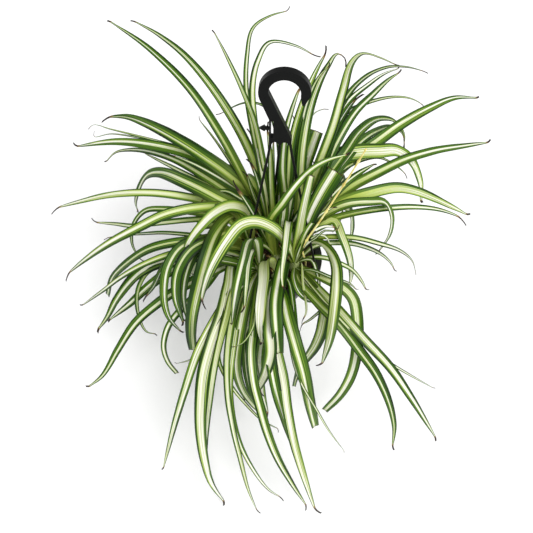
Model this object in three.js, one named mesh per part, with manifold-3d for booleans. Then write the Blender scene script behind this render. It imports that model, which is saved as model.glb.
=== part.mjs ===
// A variegated spider plant in a small hanging pot: a squat black plastic pot with a turned-down rim,
// potting soil, seven rosettes of arching ribbon leaves, one dried flower stalk, and a moulded plastic
// hanger, which is a hook with three strands that clip through the rim.
// Millimetres, +Z up, +X to the viewer's right. The origin is the point inside the top of the hook where
// the rail that holds the plant up touches it. The parts are laid out from the centre of the pot's rim.

import * as THREE from "three";
import { mergeVertices } from "three/addons/utils/BufferGeometryUtils.js";
import Module from "manifold-3d";

const wasm = await Module();
wasm.setup();

// ---------------------------------------------------------------- driving dimensions
const GAP = 0.3; // clearance between pieces that touch

const RIM_R = 60; // pot, outside the rim
const POT_H = 60;
const BASE_R = 40;
const WALL = 1.5;
const LIP_W = 8; // flat lip, from the inner wall to the rim's outer face
const SKIRT_H = 8; // how far the rim turns down
const DRAIN_R = 3;
const DRAIN_COUNT = 6;
const DRAIN_RING_R = 26; // the drainage holes, from the pot's axis

const SOIL_TOP = -7; // below the rim, at the wall
const SOIL_CROWN = 3; // how much higher the middle is
const HOLE_ROOM = 0.4; // round a stem that stands in the soil

const STRAND_R = 1.4;
const STRAND_HOLE_R = 2.1;
const BARB_R = 2.4; // a strand's end, under the rim
const BARB_LENGTH = 6;
const BARB_FLAT = 1; // its straight collar
const STRAND_RING_R = 55.8; // the strands' holes, from the pot's axis
const STRAND_ANGLES = { strand_back: 96, strand_left: 222, strand_right: 336 };
const STRAND_NECK = 2; // how far a strand hangs straight down from the plate
const STRAND_TURN = 8; // how high above the rim it turns upright, over its hole

const HANGER_DROP = 200; // from the rim up to the hook's plate
const HOOK_X = 5.3; // the hanger stands a little right of the pot's axis
const HOOK_TURN = -3; // degrees about the vertical
const HOOK_THICK = 7;
const RING_OUTER = 24; // the hook's ring
const RING_INNER = 14.8;
const RING_Z = 58.5; // its centre, above the plate's lower edge
const MOUTH_DEGREES = -8; // where the inside of the ring ends, at the hook's mouth
const TONGUE_DEGREES = -2; // where its outside ends
const NECK_DEGREES = 197; // where its outside meets the plate
const TONGUE = { inner: 1.2, outer: 4.4, drop: 10.5, tip: 14.5 }; // its end, from RING_INNER and RING_Z
const PLATE_LEFT = -14; // the plate below the ring, from the ring's centre line
const PLATE_RIGHT = 8.4;
const PLATE_SIDE = 4; // how far up its right side goes before it slants to the ring
const NECK_Z = 28; // where the plate's straight left side ends
const SLOT = { left: -12.2, right: -9.8, bottom: 5, top: 26 }; // for a label, through the plate
const NIB_THICK = 2.6; // the barbed nib that a label hangs on
const NIB_LENGTH = 9.5;
const NIB_Z = 14.5;
const STRAND_X = { strand_left: -12.4, strand_back: -3.4, strand_right: 6.8 }; // under the plate
const FOOT_HALF = 1.6; // the plate's foot over each strand, with arches between the feet
const FOOT_DROP = 2.6;

const STUB_R = 8; // a rosette's short stem
const STUB_DEPTH = 16; // how deep it stands in the soil
const STUB_RISE = 12;
const STUB_ROUND = 5; // how far its ends are drawn in
const BLADE_THICK = 1.2; // at the midrib; the edges are sharp
const STATION_EVERY = 42; // along a leaf
const CHANNEL = 0.16; // how deep a leaf's channel is, as a share of its width
const EASE_LENGTH = 50; // how soon a leaf that hangs sideways turns its upper side up and out
const TO_VIEWER = 1.2; // how far a leaf's upper side faces the photograph's viewer, against 1 for up

const STALK_R = 1.3; // the dried flower stalk
const STALK_ROOT = [39, -9]; // where it stands, from the pot's axis
const STALK_TOP = 245; // how high its tip is, above the rim
const STALK_PX = [[303, 247], [320, 221], [337, 195], [352, 172], [366, 149]]; // seen in the photograph

// The photograph's viewpoint, which the leaves' midribs are read from: 533 x 533 pixels.
const PHOTO_CENTRE = [266.5, 266.5];
const FOCAL_PX = 561;
const CAMERA_DISTANCE = 720;
const CAMERA_ELEVATION = 55;
const RIM_CENTRE_PX = [275, 256];

// The rosettes' stems: where each stands on the soil, from the pot's axis.
const ROSETTES = {
  back: [-4, 27],
  right: [27, 22],
  left: [-30, 7],
  front_left: [-19, -21],
  front: [2, -32],
  front_right: [25, -14],
  centre: [1, -3],
};

// ---------------------------------------------------------------- small helpers
const radians = THREE.MathUtils.degToRad;

function solidOf(geometry) {
  const bare = geometry.clone();
  bare.deleteAttribute("normal");
  bare.deleteAttribute("uv");
  const merged = mergeVertices(bare, 1e-4);
  return new wasm.Manifold(
    new wasm.Mesh({
      numProp: 3,
      vertProperties: merged.attributes.position.array,
      triVerts: new Uint32Array(merged.index.array),
    }),
  );
}

function geometryOf(solid) {
  const mesh = solid.getMesh();
  const positions = new Float32Array(mesh.numVert * 3);
  for (let i = 0; i < mesh.numVert; i++) {
    const start = i * mesh.numProp;
    positions.set(mesh.vertProperties.subarray(start, start + 3), i * 3);
  }
  const geometry = new THREE.BufferGeometry();
  geometry.setAttribute("position", new THREE.BufferAttribute(positions, 3));
  geometry.setIndex(new THREE.BufferAttribute(mesh.triVerts, 1));
  geometry.computeVertexNormals();
  return geometry;
}

// A body turned about +Z from [radius, height] pairs that start and end on the axis.
function turned(profile, sides) {
  const points = profile.map(([r, z]) => new THREE.Vector2(r, z));
  return solidOf(new THREE.LatheGeometry(points, sides).rotateX(Math.PI / 2));
}

function cylinder(radius, bottom, top, x, y, sides = 16) {
  const geometry = new THREE.CylinderGeometry(radius, radius, top - bottom, sides);
  geometry.rotateX(Math.PI / 2);
  geometry.translate(x, y, (top + bottom) / 2);
  return solidOf(geometry);
}

// ---------------------------------------------------------------- the photograph's viewpoint
const elevation = radians(CAMERA_ELEVATION);
const eye = new THREE.Vector3(0, -Math.cos(elevation), Math.sin(elevation)).multiplyScalar(CAMERA_DISTANCE);
const aimRight = ((PHOTO_CENTRE[0] - RIM_CENTRE_PX[0]) / FOCAL_PX) * CAMERA_DISTANCE;
const aimUp = ((RIM_CENTRE_PX[1] - PHOTO_CENTRE[1]) / FOCAL_PX) * CAMERA_DISTANCE;
const aim = new THREE.Vector3(aimRight, aimUp * Math.sin(elevation), aimUp * Math.cos(elevation));
const forward = aim.clone().sub(eye).normalize();
const sideways = new THREE.Vector3().crossVectors(forward, new THREE.Vector3(0, 0, 1)).normalize();
const upwards = new THREE.Vector3().crossVectors(sideways, forward);
const FACING = new THREE.Vector3(0, 0, 1).addScaledVector(forward, -TO_VIEWER); // where upper sides face

// The point at a given height above the rim that the photograph shows at a pixel.
function atHeight([x, y], height) {
  const ray = forward
    .clone()
    .addScaledVector(sideways, (x - PHOTO_CENTRE[0]) / FOCAL_PX)
    .addScaledVector(upwards, (PHOTO_CENTRE[1] - y) / FOCAL_PX);
  return eye.clone().addScaledVector(ray, (height - eye.z) / ray.z);
}

// The pixel that a point shows at.
function pixelOf(point) {
  const ray = point.clone().sub(eye);
  const depth = ray.dot(forward);
  return [
    PHOTO_CENTRE[0] + (FOCAL_PX * ray.dot(sideways)) / depth,
    PHOTO_CENTRE[1] - (FOCAL_PX * ray.dot(upwards)) / depth,
  ];
}

// ---------------------------------------------------------------- leaves
const POINT = "point"; // tapers to a fine tip
const CUT = "cut"; // snipped square by the grower
const STUMP = "stump"; // snipped low, where the leaf is broadest

// The height along a smooth arch from one height through another half way along to a third at the end.
function archHeight(t, start, middle, tip) {
  return start * (1 - t) * (1 - 2 * t) + 4 * middle * t * (1 - t) + tip * t * (2 * t - 1);
}

// A leaf that the photograph shows: its rosette, its width in mm, its midrib in photograph pixels from base
// to tip, its height in mm above the rim half way along and at the tip, and how it ends.
const leaves = [];
function leaf(rosette, width, midrib, middle, tip, end = POINT) {
  const root = new THREE.Vector3(...ROSETTES[rosette], 0);
  const pixels = [pixelOf(root), ...midrib];
  const run = [0];
  for (let i = 1; i < pixels.length; i++) {
    run.push(run[i - 1] + Math.hypot(pixels[i][0] - pixels[i - 1][0], pixels[i][1] - pixels[i - 1][1]));
  }
  const length = run[run.length - 1];
  const points = pixels.map((pixel, i) => atHeight(pixel, archHeight(run[i] / length, 0, middle, tip)));
  leaves.push({ rosette, width, points, end });
}

// A leaf on the far side, which the photograph hides: it leaves its rosette at an azimuth, rises and
// hangs over.
function farLeaf(rosette, width, azimuth, reach, middle, tip) {
  const [x, y] = ROSETTES[rosette];
  const a = radians(azimuth);
  const points = [0, 1 / 6, 1 / 3, 1 / 2, 2 / 3, 5 / 6, 1].map((t) => {
    const out = reach * Math.sin((t * Math.PI) / 2);
    return new THREE.Vector3(x + out * Math.cos(a), y + out * Math.sin(a), archHeight(t, 0, middle, tip));
  });
  leaves.push({ rosette, width, points, end: POINT });
}

// Leaves that rise behind the hook, from the left round to the right.
leaf("back", 12, [[258, 206], [240, 170], [221, 135], [191, 90], [151, 50], [108, 20]], 150, 195);
leaf("back", 13, [[263, 190], [252, 157], [235, 123], [213, 89], [187, 58], [160, 36], [132, 20]],
    160, 190);
leaf("back", 8, [[268, 190], [263, 160], [254, 120], [241, 87], [226, 55], [213, 30]], 185, 250);
leaf("back", 11, [[266, 190], [258, 152], [250, 116], [246, 90]], 140, 185);
leaf("back", 7, [[270, 197], [262, 175], [252, 130], [246, 90], [247, 55], [253, 28], [270, 16],
    [292, 10]], 195, 215);
leaf("back", 9, [[267, 195], [260, 170], [255, 130], [252, 90], [258, 60], [271, 42], [296, 46],
    [320, 59]], 180, 150);
leaf("back", 5, [[252, 197], [245, 185], [232, 165], [215, 140], [197, 117]], 85, 110);
leaf("back", 7, [[279, 190], [280, 160], [276, 130], [265, 107], [245, 103], [216, 116]], 141, 130);
leaf("back", 11, [[284, 200], [282, 165], [286, 130], [296, 97], [304, 78]], 160, 225);
leaf("back", 11, [[288, 190], [292, 142], [301, 108], [312, 80], [322, 60], [330, 48]], 180, 235);
leaf("right", 9, [[298, 190], [299, 142], [306, 105], [318, 78], [332, 64]], 165, 215);
leaf("back", 19, [[250, 193], [230, 175], [205, 157], [180, 141], [152, 126], [127, 117], [104, 117]],
    100, 60);
leaf("back", 16, [[252, 199], [235, 181], [210, 164], [185, 153], [150, 145], [115, 142], [73, 147]],
    85, 30);

// Leaves that rise and reach to the right.
leaf("right", 13, [[300, 190], [303, 145], [309, 112], [318, 85], [328, 66], [338, 54], [345, 58],
    [349, 66]], 180, 190);
leaf("right", 13, [[308, 195], [319, 165], [333, 128], [343, 92], [352, 63], [363, 54], [380, 58],
    [400, 67]], 175, 150);
leaf("right", 9, [[312, 190], [325, 150], [342, 105], [362, 80], [385, 68], [405, 67], [427, 72]],
    160, 130);
leaf("right", 12, [[312, 200], [326, 165], [340, 136], [355, 112], [372, 95], [388, 80], [402, 71]],
    145, 150);
leaf("right", 9, [[310, 195], [322, 155], [335, 122], [350, 100], [368, 85], [384, 74], [400, 68]],
    150, 155);
leaf("right", 7, [[314, 185], [327, 137], [345, 114], [370, 102], [395, 97], [412, 99], [425, 106]],
    135, 100);
leaf("right", 17, [[318, 198], [335, 174], [350, 160], [375, 143], [400, 125], [430, 108], [455, 98],
    [479, 98]], 100, 85);
leaf("right", 16, [[320, 208], [335, 198], [355, 185], [380, 172], [405, 160], [435, 151], [465, 146],
    [492, 142]], 80, 50);
leaf("right", 17, [[325, 212], [345, 201], [370, 193], [395, 188], [415, 191], [435, 199], [470, 216]],
    72, 10);
leaf("right", 10, [[325, 222], [350, 214], [380, 209], [410, 207], [435, 209], [455, 215], [467, 222]],
    50, 15);
leaf("right", 11, [[325, 215], [345, 205], [370, 202], [385, 203], [391, 215], [390, 232], [377, 254]],
    80, -30);
leaf("right", 16, [[320, 188], [345, 152], [360, 131], [379, 119], [395, 122], [404, 135], [403, 150]],
    130, 60);
leaf("right", 13, [[322, 190], [345, 160], [360, 142], [376, 131], [391, 127], [402, 133], [405, 147]],
    108, 40);
leaf("right", 22, [[316, 190], [325, 170], [339, 156], [358, 152], [379, 151], [397, 151], [411, 161],
    [420, 182], [421, 203]], 108, 0);
leaf("right", 18, [[312, 200], [327, 152], [340, 123], [351, 105], [361, 94]], 128, 165);
leaf("right", 7, [[320, 190], [340, 172], [360, 161], [380, 158], [396, 166], [408, 176]], 85, 55);
leaf("right", 13, [[320, 210], [338, 190], [356, 175], [376, 163]], 70, 75);
leaf("right", 7, [[301, 185], [302, 155], [297, 130], [292, 112]], 115, 185);
leaf("right", 16, [[303, 195], [306, 165], [311, 148], [317, 131]], 90, 150, STUMP);
leaf("front_right", 22, [[301, 243], [311, 215], [323, 192], [336, 171]], 115, 160, STUMP);
leaf("right", 12, [[322, 226], [334, 221], [342, 237], [349, 257], [351, 273], [349, 288]], 50, -60);
leaf("right", 8, [[318, 238], [330, 237], [355, 238], [380, 244], [400, 251], [412, 261], [416, 274]],
    42, -60);

// Leaves that reach or arch over to the left.
leaf("left", 11, [[245, 205], [225, 190], [200, 174], [175, 160], [150, 152], [130, 150], [115, 153],
    [105, 163]], 75, 0);
leaf("left", 20, [[240, 212], [215, 197], [185, 182], [160, 173], [147, 176], [139, 190], [136, 203],
    [139, 213]], 85, -35);
leaf("left", 12, [[230, 209], [205, 201], [165, 194], [135, 193], [105, 196], [75, 203], [52, 209]],
    65, 10);
leaf("left", 14, [[245, 213], [225, 207], [195, 208], [165, 215], [140, 227], [110, 243], [85, 260],
    [65, 276]], 90, -30);
leaf("left", 9, [[235, 224], [210, 219], [190, 220], [160, 223], [135, 226], [115, 224], [90, 222]], 42, 0);
leaf("left", 7, [[235, 238], [210, 238], [190, 235], [165, 233], [140, 234], [120, 236], [105, 238]],
    30, -10);
leaf("back", 12, [[255, 200], [238, 190], [215, 176], [195, 165], [172, 155]], 75, 85);
leaf("left", 8, [[252, 206], [240, 198], [226, 191], [213, 193], [204, 199], [198, 205]], 70, 60);
leaf("left", 9, [[225, 217], [200, 213], [165, 209], [145, 211], [134, 224], [132, 242], [141, 262]],
    62, -60);
leaf("left", 17, [[248, 212], [231, 206], [215, 213], [199, 229], [187, 246], [181, 262]], 85, 27);
leaf("left", 19, [[246, 219], [232, 217], [216, 233], [206, 258], [198, 287], [192, 315], [191, 335],
    [193, 350]], 55, -88, CUT);
leaf("left", 17, [[232, 234], [212, 240], [192, 250], [179, 270], [176, 294], [184, 325]], 52, -48);
leaf("left", 15, [[230, 237], [205, 240], [182, 246], [168, 266], [164, 290], [168, 315], [182, 333]],
    50, -60);
leaf("left", 15, [[232, 240], [213, 243], [197, 252], [188, 270], [184, 292], [186, 312], [190, 326]],
    40, -55);
leaf("left", 9, [[232, 243], [215, 248], [201, 259], [192, 274]], 26, 5, CUT);
leaf("left", 14, [[230, 242], [205, 241], [175, 243], [148, 250], [128, 263], [113, 278], [108, 295]],
    48, -50, CUT);
leaf("left", 11, [[228, 247], [205, 247], [180, 252], [150, 262], [125, 275], [103, 291], [80, 307]],
    38, -44);

// Leaves that hang from the front left.
leaf("front_left", 23, [[228, 255], [190, 257], [163, 262], [143, 271], [128, 285], [117, 300],
    [107, 318], [97, 331]], -2, -85);
leaf("front_left", 18, [[228, 260], [197, 262], [170, 272], [150, 286], [131, 303], [108, 321]], -8, -90);
leaf("front_left", 9, [[225, 262], [190, 262], [165, 265], [148, 272], [138, 290], [138, 312], [146, 331],
    [158, 334]], 0, -100);
leaf("front_left", 16, [[228, 262], [197, 258], [175, 259], [163, 269], [154, 286], [143, 300]], 32, -50);
leaf("front_left", 15, [[232, 265], [210, 274], [185, 286], [160, 302], [135, 324], [118, 350],
    [103, 375], [87, 388]], -14, -110);
leaf("front_left", 11, [[233, 257], [204, 288], [182, 309], [169, 326], [164, 346], [168, 361],
    [177, 373]], -16, -115, CUT);
leaf("front_left", 12, [[244, 270], [230, 295], [213, 323], [198, 352], [186, 387], [176, 420],
    [168, 450], [163, 470]], -10, -200);
leaf("front_left", 18, [[234, 261], [228, 287], [222, 315], [212, 343], [204, 372], [201, 402],
    [201, 432], [205, 462], [212, 484], [226, 504]], -15, -240);
leaf("front_left", 10, [[240, 275], [226, 320], [216, 360], [210, 400], [206, 440], [206, 470],
    [208, 486]], -10, -225);
leaf("front_left", 9, [[242, 280], [231, 325], [227, 360], [228, 395], [233, 427], [240, 457],
    [248, 488], [258, 513]], -15, -230);
leaf("front_left", 8, [[246, 285], [234, 345], [230, 385], [232, 412], [239, 441], [251, 466], [268, 489],
    [284, 499]], -25, -235);
leaf("front_left", 14, [[256, 240], [250, 241], [244, 260], [238, 285], [234, 308], [232, 325]], 114, 20);
leaf("front_left", 12, [[254, 250], [249, 258], [246, 285], [244, 312]], 58, 25);
leaf("front_left", 15, [[250, 290], [240, 335], [237, 365], [242, 387], [253, 404], [266, 417]], -5, -170);
leaf("front_left", 6, [[236, 285], [221, 330], [219, 360], [231, 385], [246, 404], [262, 420], [281, 430]],
    0, -150);

// Leaves that hang straight down in front.
leaf("front", 18, [[271, 262], [266, 262], [264, 282], [261, 305], [260, 322], [262, 345]], 58, 0);
leaf("front", 13, [[262, 300], [251, 345], [253, 380], [260, 408], [267, 432], [277, 457], [291, 482],
    [308, 508]], -25, -225);
leaf("front", 14, [[276, 310], [276, 345], [283, 378], [287, 408], [293, 439], [301, 467], [310, 495],
    [317, 515]], -30, -205);
leaf("front", 15, [[272, 305], [270, 335], [271, 360], [276, 390], [284, 418], [291, 441], [295, 457]],
    2, -150);
leaf("front", 18, [[271, 295], [270, 330], [271, 352], [266, 372], [259, 387], [253, 400]], 35, -80);
leaf("front", 11, [[266, 295], [255, 320], [249, 340], [250, 360], [257, 381], [262, 398]], -4, -110);
leaf("front", 5, [[264, 290], [256, 310], [253, 328], [243, 343], [231, 348]], 30, 20);
leaf("front", 18, [[284, 300], [288, 318], [295, 343], [303, 371], [310, 405], [315, 426]], 5, -130, CUT);
leaf("front", 18, [[283, 262], [279, 283], [276, 305], [277, 330], [279, 353]], 55, 15, CUT);
leaf("front", 4, [[286, 320], [296, 370], [318, 412], [330, 432], [345, 452]], -15, -190);

// Leaves that hang from the front right.
leaf("front_right", 17, [[285, 241], [270, 227], [254, 222], [240, 226], [227, 242], [214, 264],
    [205, 286], [201, 305]], 124, 14);
leaf("front_right", 17, [[303, 246], [315, 243], [327, 250], [335, 265], [336, 285], [334, 310],
    [330, 338], [321, 367]], 45, -78);
leaf("front_right", 8, [[315, 246], [345, 243], [365, 247], [382, 255], [392, 265], [395, 275]], 22, -60);
leaf("front_right", 7, [[308, 258], [325, 258], [341, 264], [352, 270], [362, 282], [367, 293]], 20, -60);
leaf("front_right", 14, [[302, 272], [320, 291], [340, 312], [363, 338], [390, 367], [410, 396],
    [428, 425], [437, 440]], -6, -130);
leaf("front_right", 14, [[300, 282], [320, 305], [340, 325], [360, 351], [375, 372], [387, 397],
    [394, 425], [392, 450]], -15, -170);
leaf("front_right", 5, [[318, 294], [350, 330], [375, 352], [390, 363], [410, 375], [435, 389]], 0, -115);
leaf("front_right", 16, [[305, 270], [325, 279], [343, 288], [353, 299], [357, 318], [357, 345],
    [352, 372], [341, 393], [325, 410]], -20, -175, CUT);
leaf("front_right", 17, [[312, 288], [324, 304], [323, 325], [317, 343], [306, 360]], -10, -120, CUT);
leaf("front_right", 6, [[303, 260], [312, 260], [317, 272], [320, 296]], 18, -40);
leaf("front_right", 9, [[294, 280], [298, 291], [306, 299], [316, 302]], 12, -25);

// Short upright leaves in the crown.
leaf("centre", 13, [[270, 222], [283, 203], [298, 183], [312, 169], [328, 160], [350, 154]], 140, 165);
leaf("front_right", 13, [[291, 245], [289, 222], [285, 250], [282, 275], [283, 290]], 86, 62);
leaf("front_right", 13, [[297, 245], [301, 220], [305, 200], [311, 175]], 95, 165, CUT);
leaf("centre", 13, [[280, 240], [284, 215], [286, 192]], 70, 125, CUT);
leaf("centre", 10, [[268, 247], [254, 241], [242, 243]], 36, 30);
leaf("back", 10, [[277, 225], [280, 200], [283, 172], [285, 146]], 95, 160);
leaf("back", 11, [[269, 222], [264, 203], [258, 180], [250, 158]], 88, 140);
leaf("back", 10, [[272, 222], [267, 200], [262, 175], [256, 150], [249, 128]], 108, 165);
leaf("back", 10, [[279, 232], [285, 205], [291, 180], [295, 158]], 85, 140);
leaf("right", 10, [[296, 215], [299, 195], [303, 172], [309, 150]], 85, 130);
leaf("back", 9, [[277, 228], [279, 205], [280, 185], [283, 165]], 80, 125);
leaf("centre", 10, [[267, 240], [256, 218], [243, 197], [231, 182]], 72, 112);
leaf("back", 10, [[273, 215], [271, 180], [270, 150], [266, 122]], 120, 185);

farLeaf("back", 14, 48, 95, 62, -70);
farLeaf("back", 15, 70, 125, 75, -95);
farLeaf("back", 12, 119, 100, 50, -120);
farLeaf("back", 15, 136, 115, 70, -60);
farLeaf("right", 13, 24, 85, 48, -55);
farLeaf("right", 14, 52, 110, 66, -85);
farLeaf("left", 13, 140, 105, 60, -80);
farLeaf("left", 12, 172, 90, 36, -110);

// How wide the blade is at a share t of its length, as a share of its full width: narrow where it leaves
// the others, and drawn in to its tip.
function widthAt(t, end) {
  if (end === STUMP) return Math.min(1, 0.22 + 0.9 * t);
  const base = Math.min(1, 0.45 + 2 * t);
  return end === CUT ? base * (1 - 0.4 * t ** 4) : base * Math.max(0.08, (1 - t ** 3.3) ** 0.85);
}

// A blade is a shallow channel. At each station it has four corners: its left edge, the midrib's upper
// and lower sides, and its right edge. The way across it is carried along the midrib from the base, where
// the upper side faces up and out, and eased towards the way that shows the upper side.
function bladeOf({ points, width, end }) {
  const midrib = new THREE.CatmullRomCurve3(points, false, "centripetal");
  const stations = Math.max(4, Math.min(8, Math.round(midrib.getLength() / STATION_EVERY)));
  const rise = midrib.getPoint(0.6).sub(midrib.getPoint(0));
  let side = new THREE.Vector3().crossVectors(FACING, rise).normalize();
  const ease = midrib.getLength() / stations / EASE_LENGTH;
  const corners = [];
  for (let i = 0; i <= stations; i++) {
    const t = i / stations;
    const at = midrib.getPointAt(t);
    const along = midrib.getTangentAt(t);
    side = side.addScaledVector(along, -side.dot(along)).normalize();
    const facing = new THREE.Vector3().crossVectors(FACING, along);
    side = side.addScaledVector(facing, ease * Math.sign(facing.dot(side))).normalize();
    const up = new THREE.Vector3().crossVectors(along, side);
    const half = (width / 2) * widthAt(t, end);
    const corner = (w, h) => at.clone().addScaledVector(side, w).addScaledVector(up, h);
    const depth = 2 * half * CHANNEL;
    const [upper, lower] = [corner(0, BLADE_THICK / 2), corner(0, -BLADE_THICK / 2)];
    corners.push(corner(half, depth), upper, lower, corner(-half, depth));
  }
  return solidOf(skinOf(corners, stations));
}

// Joins the stations' corners into a closed skin. Its upper and lower faces are split alike, along the
// diagonals that run from an edge to the next station's midrib.
function skinOf(corners, stations) {
  const [left, upper, lower, right] = [0, 1, 2, 3];
  const index = [];
  const face = (a, b, c, flip) => index.push(...(flip ? [a, b, c] : [a, c, b]));
  const sides = [
    [left, upper, false],
    [left, lower, true],
    [right, upper, true],
    [right, lower, false],
  ];
  for (let i = 0; i < 4 * stations; i += 4) {
    for (const [edge, mid, flip] of sides) {
      face(i + edge, i + mid + 4, i + mid, flip);
      face(i + edge, i + edge + 4, i + mid + 4, flip);
    }
  }
  for (const [start, flip] of [[0, false], [4 * stations, true]]) {
    face(start + left, start + upper, start + lower, flip);
    face(start + right, start + lower, start + upper, flip);
  }
  const geometry = new THREE.BufferGeometry();
  const positions = corners.flatMap((corner) => corner.toArray());
  geometry.setAttribute("position", new THREE.Float32BufferAttribute(positions, 3));
  geometry.setIndex(index);
  return geometry;
}

// A rosette: a short stem that stands in the soil, with its leaves sunk well into it.
function rosetteOf(name) {
  const [x, y] = ROSETTES[name];
  const stem = turned(
    [
      [0, -STUB_DEPTH],
      [STUB_R * 0.7, -STUB_DEPTH],
      [STUB_R, -STUB_DEPTH + STUB_ROUND],
      [STUB_R, STUB_RISE - STUB_ROUND],
      [STUB_R * 0.6, STUB_RISE],
      [0, STUB_RISE],
    ],
    10,
  ).translate([x, y, 0]);
  const blades = leaves.filter((spec) => spec.rosette === name).map(bladeOf);
  return largestOf(wasm.Manifold.union([stem, ...blades]));
}

// Drops loose scraps, and fills the small hollows that crossing blades seal.
function largestOf(solid) {
  return solid.decompose().reduce((best, body) => (body.volume() > best.volume() ? body : best));
}

// ---------------------------------------------------------------- pot
const THROUGH = 2; // how far a cutting tool runs past the wall that it cuts

// The radius of the pot's inner wall at a height, from the floor's edge to the lip's.
function innerWall(z) {
  const [low, high] = [BASE_R - WALL, RIM_R - LIP_W];
  return low + ((high - low) * (z + POT_H - WALL)) / (POT_H - WALL);
}

// A point on a circle round the pot's axis.
function aroundAxis(radius, angle) {
  return [radius * Math.cos(angle), radius * Math.sin(angle)];
}

function potSolid() {
  let pot = turned(
    [
      [0, -POT_H],
      [BASE_R, -POT_H],
      [innerWall(-WALL) + WALL, -WALL],
      [RIM_R - WALL, -WALL],
      [RIM_R - WALL, -SKIRT_H],
      [RIM_R, -SKIRT_H],
      [RIM_R, 0],
      [innerWall(0), 0],
      [innerWall(-POT_H + WALL), -POT_H + WALL],
      [0, -POT_H + WALL],
    ],
    48,
  );
  for (const degrees of Object.values(STRAND_ANGLES)) {
    const [x, y] = aroundAxis(STRAND_RING_R, radians(degrees));
    pot = pot.subtract(cylinder(STRAND_HOLE_R, -WALL - THROUGH, THROUGH, x, y));
  }
  for (let i = 0; i < DRAIN_COUNT; i++) {
    const [x, y] = aroundAxis(DRAIN_RING_R, (2 * Math.PI * i) / DRAIN_COUNT);
    pot = pot.subtract(cylinder(DRAIN_R, -POT_H - THROUGH, -POT_H + WALL + THROUGH, x, y));
  }
  return pot;
}

// The soil fills the pot, is heaped a little in the middle and has a hole for each stem.
function soilSolid() {
  const floor = -POT_H + WALL + GAP;
  const radius = (z) => innerWall(z) - 1.2 * GAP;
  let soil = turned(
    [
      [0, floor],
      [radius(floor), floor],
      [radius(SOIL_TOP), SOIL_TOP],
      [radius(SOIL_TOP) * 0.6, SOIL_TOP + SOIL_CROWN * 0.8],
      [0, SOIL_TOP + SOIL_CROWN],
    ],
    40,
  );
  const stems = [...Object.values(ROSETTES).map((place) => [...place, STUB_R]), [...STALK_ROOT, STALK_R]];
  for (const [x, y, stem] of stems) {
    soil = soil.subtract(cylinder(stem + HOLE_ROOM, -STUB_DEPTH - GAP, THROUGH, x, y, 20));
  }
  return soil;
}

// ---------------------------------------------------------------- dried flower stalk
function stalkSolid() {
  const points = [
    new THREE.Vector3(...STALK_ROOT, -STUB_DEPTH + GAP),
    new THREE.Vector3(...STALK_ROOT, 0),
    ...STALK_PX.map((pixel, i) => atHeight(pixel, (STALK_TOP * (i + 1)) / STALK_PX.length)),
  ];
  return tube(points, STALK_R, 6, 14);
}

function tube(points, radius, sides, steps) {
  const corners = Array.from({ length: sides }, (_, i) => {
    const a = (2 * Math.PI * i) / sides;
    return new THREE.Vector2(radius * Math.cos(a), radius * Math.sin(a));
  });
  const path = new THREE.CatmullRomCurve3(points, false, "centripetal");
  return solidOf(new THREE.ExtrudeGeometry(new THREE.Shape(corners), { steps, extrudePath: path }));
}

// ---------------------------------------------------------------- hanger
// The hook is drawn in its own plane, X across from the ring's centre line and Z up from the plate's
// lower edge. Below that edge a foot stands over each strand, with an arch between one foot and the next.
function hookOutline() {
  const shape = new THREE.Shape();
  shape.moveTo(PLATE_LEFT, -FOOT_DROP);
  const [left, middle, right] = [STRAND_X.strand_left, STRAND_X.strand_back, STRAND_X.strand_right];
  for (const [from, to] of [[left, middle], [middle, right]]) {
    const across = (to - from) / 2 - FOOT_HALF;
    shape.lineTo(from + FOOT_HALF, -FOOT_DROP);
    shape.absellipse((from + to) / 2, -FOOT_DROP, across, FOOT_DROP, Math.PI, 0, true);
  }
  shape.lineTo(PLATE_RIGHT, -FOOT_DROP);
  shape.lineTo(PLATE_RIGHT, PLATE_SIDE);
  shape.lineTo(-RING_INNER, RING_Z);
  shape.absarc(0, RING_Z, RING_INNER, Math.PI, radians(MOUTH_DEGREES), true);
  const [inner, outer] = [RING_INNER + TONGUE.inner, RING_INNER + TONGUE.outer];
  shape.lineTo(inner, RING_Z - TONGUE.drop);
  shape.quadraticCurveTo((inner + outer) / 2, RING_Z - TONGUE.tip, outer, RING_Z - TONGUE.drop);
  shape.absarc(0, RING_Z, RING_OUTER, radians(TONGUE_DEGREES), radians(NECK_DEGREES), false);
  shape.lineTo(PLATE_LEFT, NECK_Z);
  shape.lineTo(PLATE_LEFT, -FOOT_DROP);
  const slot = new THREE.Path([
    new THREE.Vector2(SLOT.left, SLOT.bottom),
    new THREE.Vector2(SLOT.left, SLOT.top),
    new THREE.Vector2(SLOT.right, SLOT.top),
    new THREE.Vector2(SLOT.right, SLOT.bottom),
  ]);
  shape.holes.push(slot.closePath());
  return shape;
}

// The barbed nib on the plate's left side, which takes a label: two barbs, the outer one the longer. Its
// upper edge is mirrored below.
function nibOutline() {
  const tip = PLATE_LEFT - NIB_LENGTH;
  const upper = [
    [PLATE_LEFT + 1, 1],
    [PLATE_LEFT, 1],
    [PLATE_LEFT - 2, 2.6],
    [PLATE_LEFT - 3, 1.2],
    [PLATE_LEFT - 4.6, 3.4],
  ];
  const lower = upper.map(([x, z]) => [x, -z]).reverse();
  return new THREE.Shape([...upper, [tip, 0], ...lower].map(([x, z]) => new THREE.Vector2(x, NIB_Z + z)));
}

// From the hook's own plane (x across, y through, z up) to the pot's frame.
function hookPoint(x, y, z) {
  return new THREE.Vector3(x, y, z)
    .applyAxisAngle(new THREE.Vector3(0, 0, 1), radians(HOOK_TURN))
    .add(new THREE.Vector3(HOOK_X, 0, HANGER_DROP));
}

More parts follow.
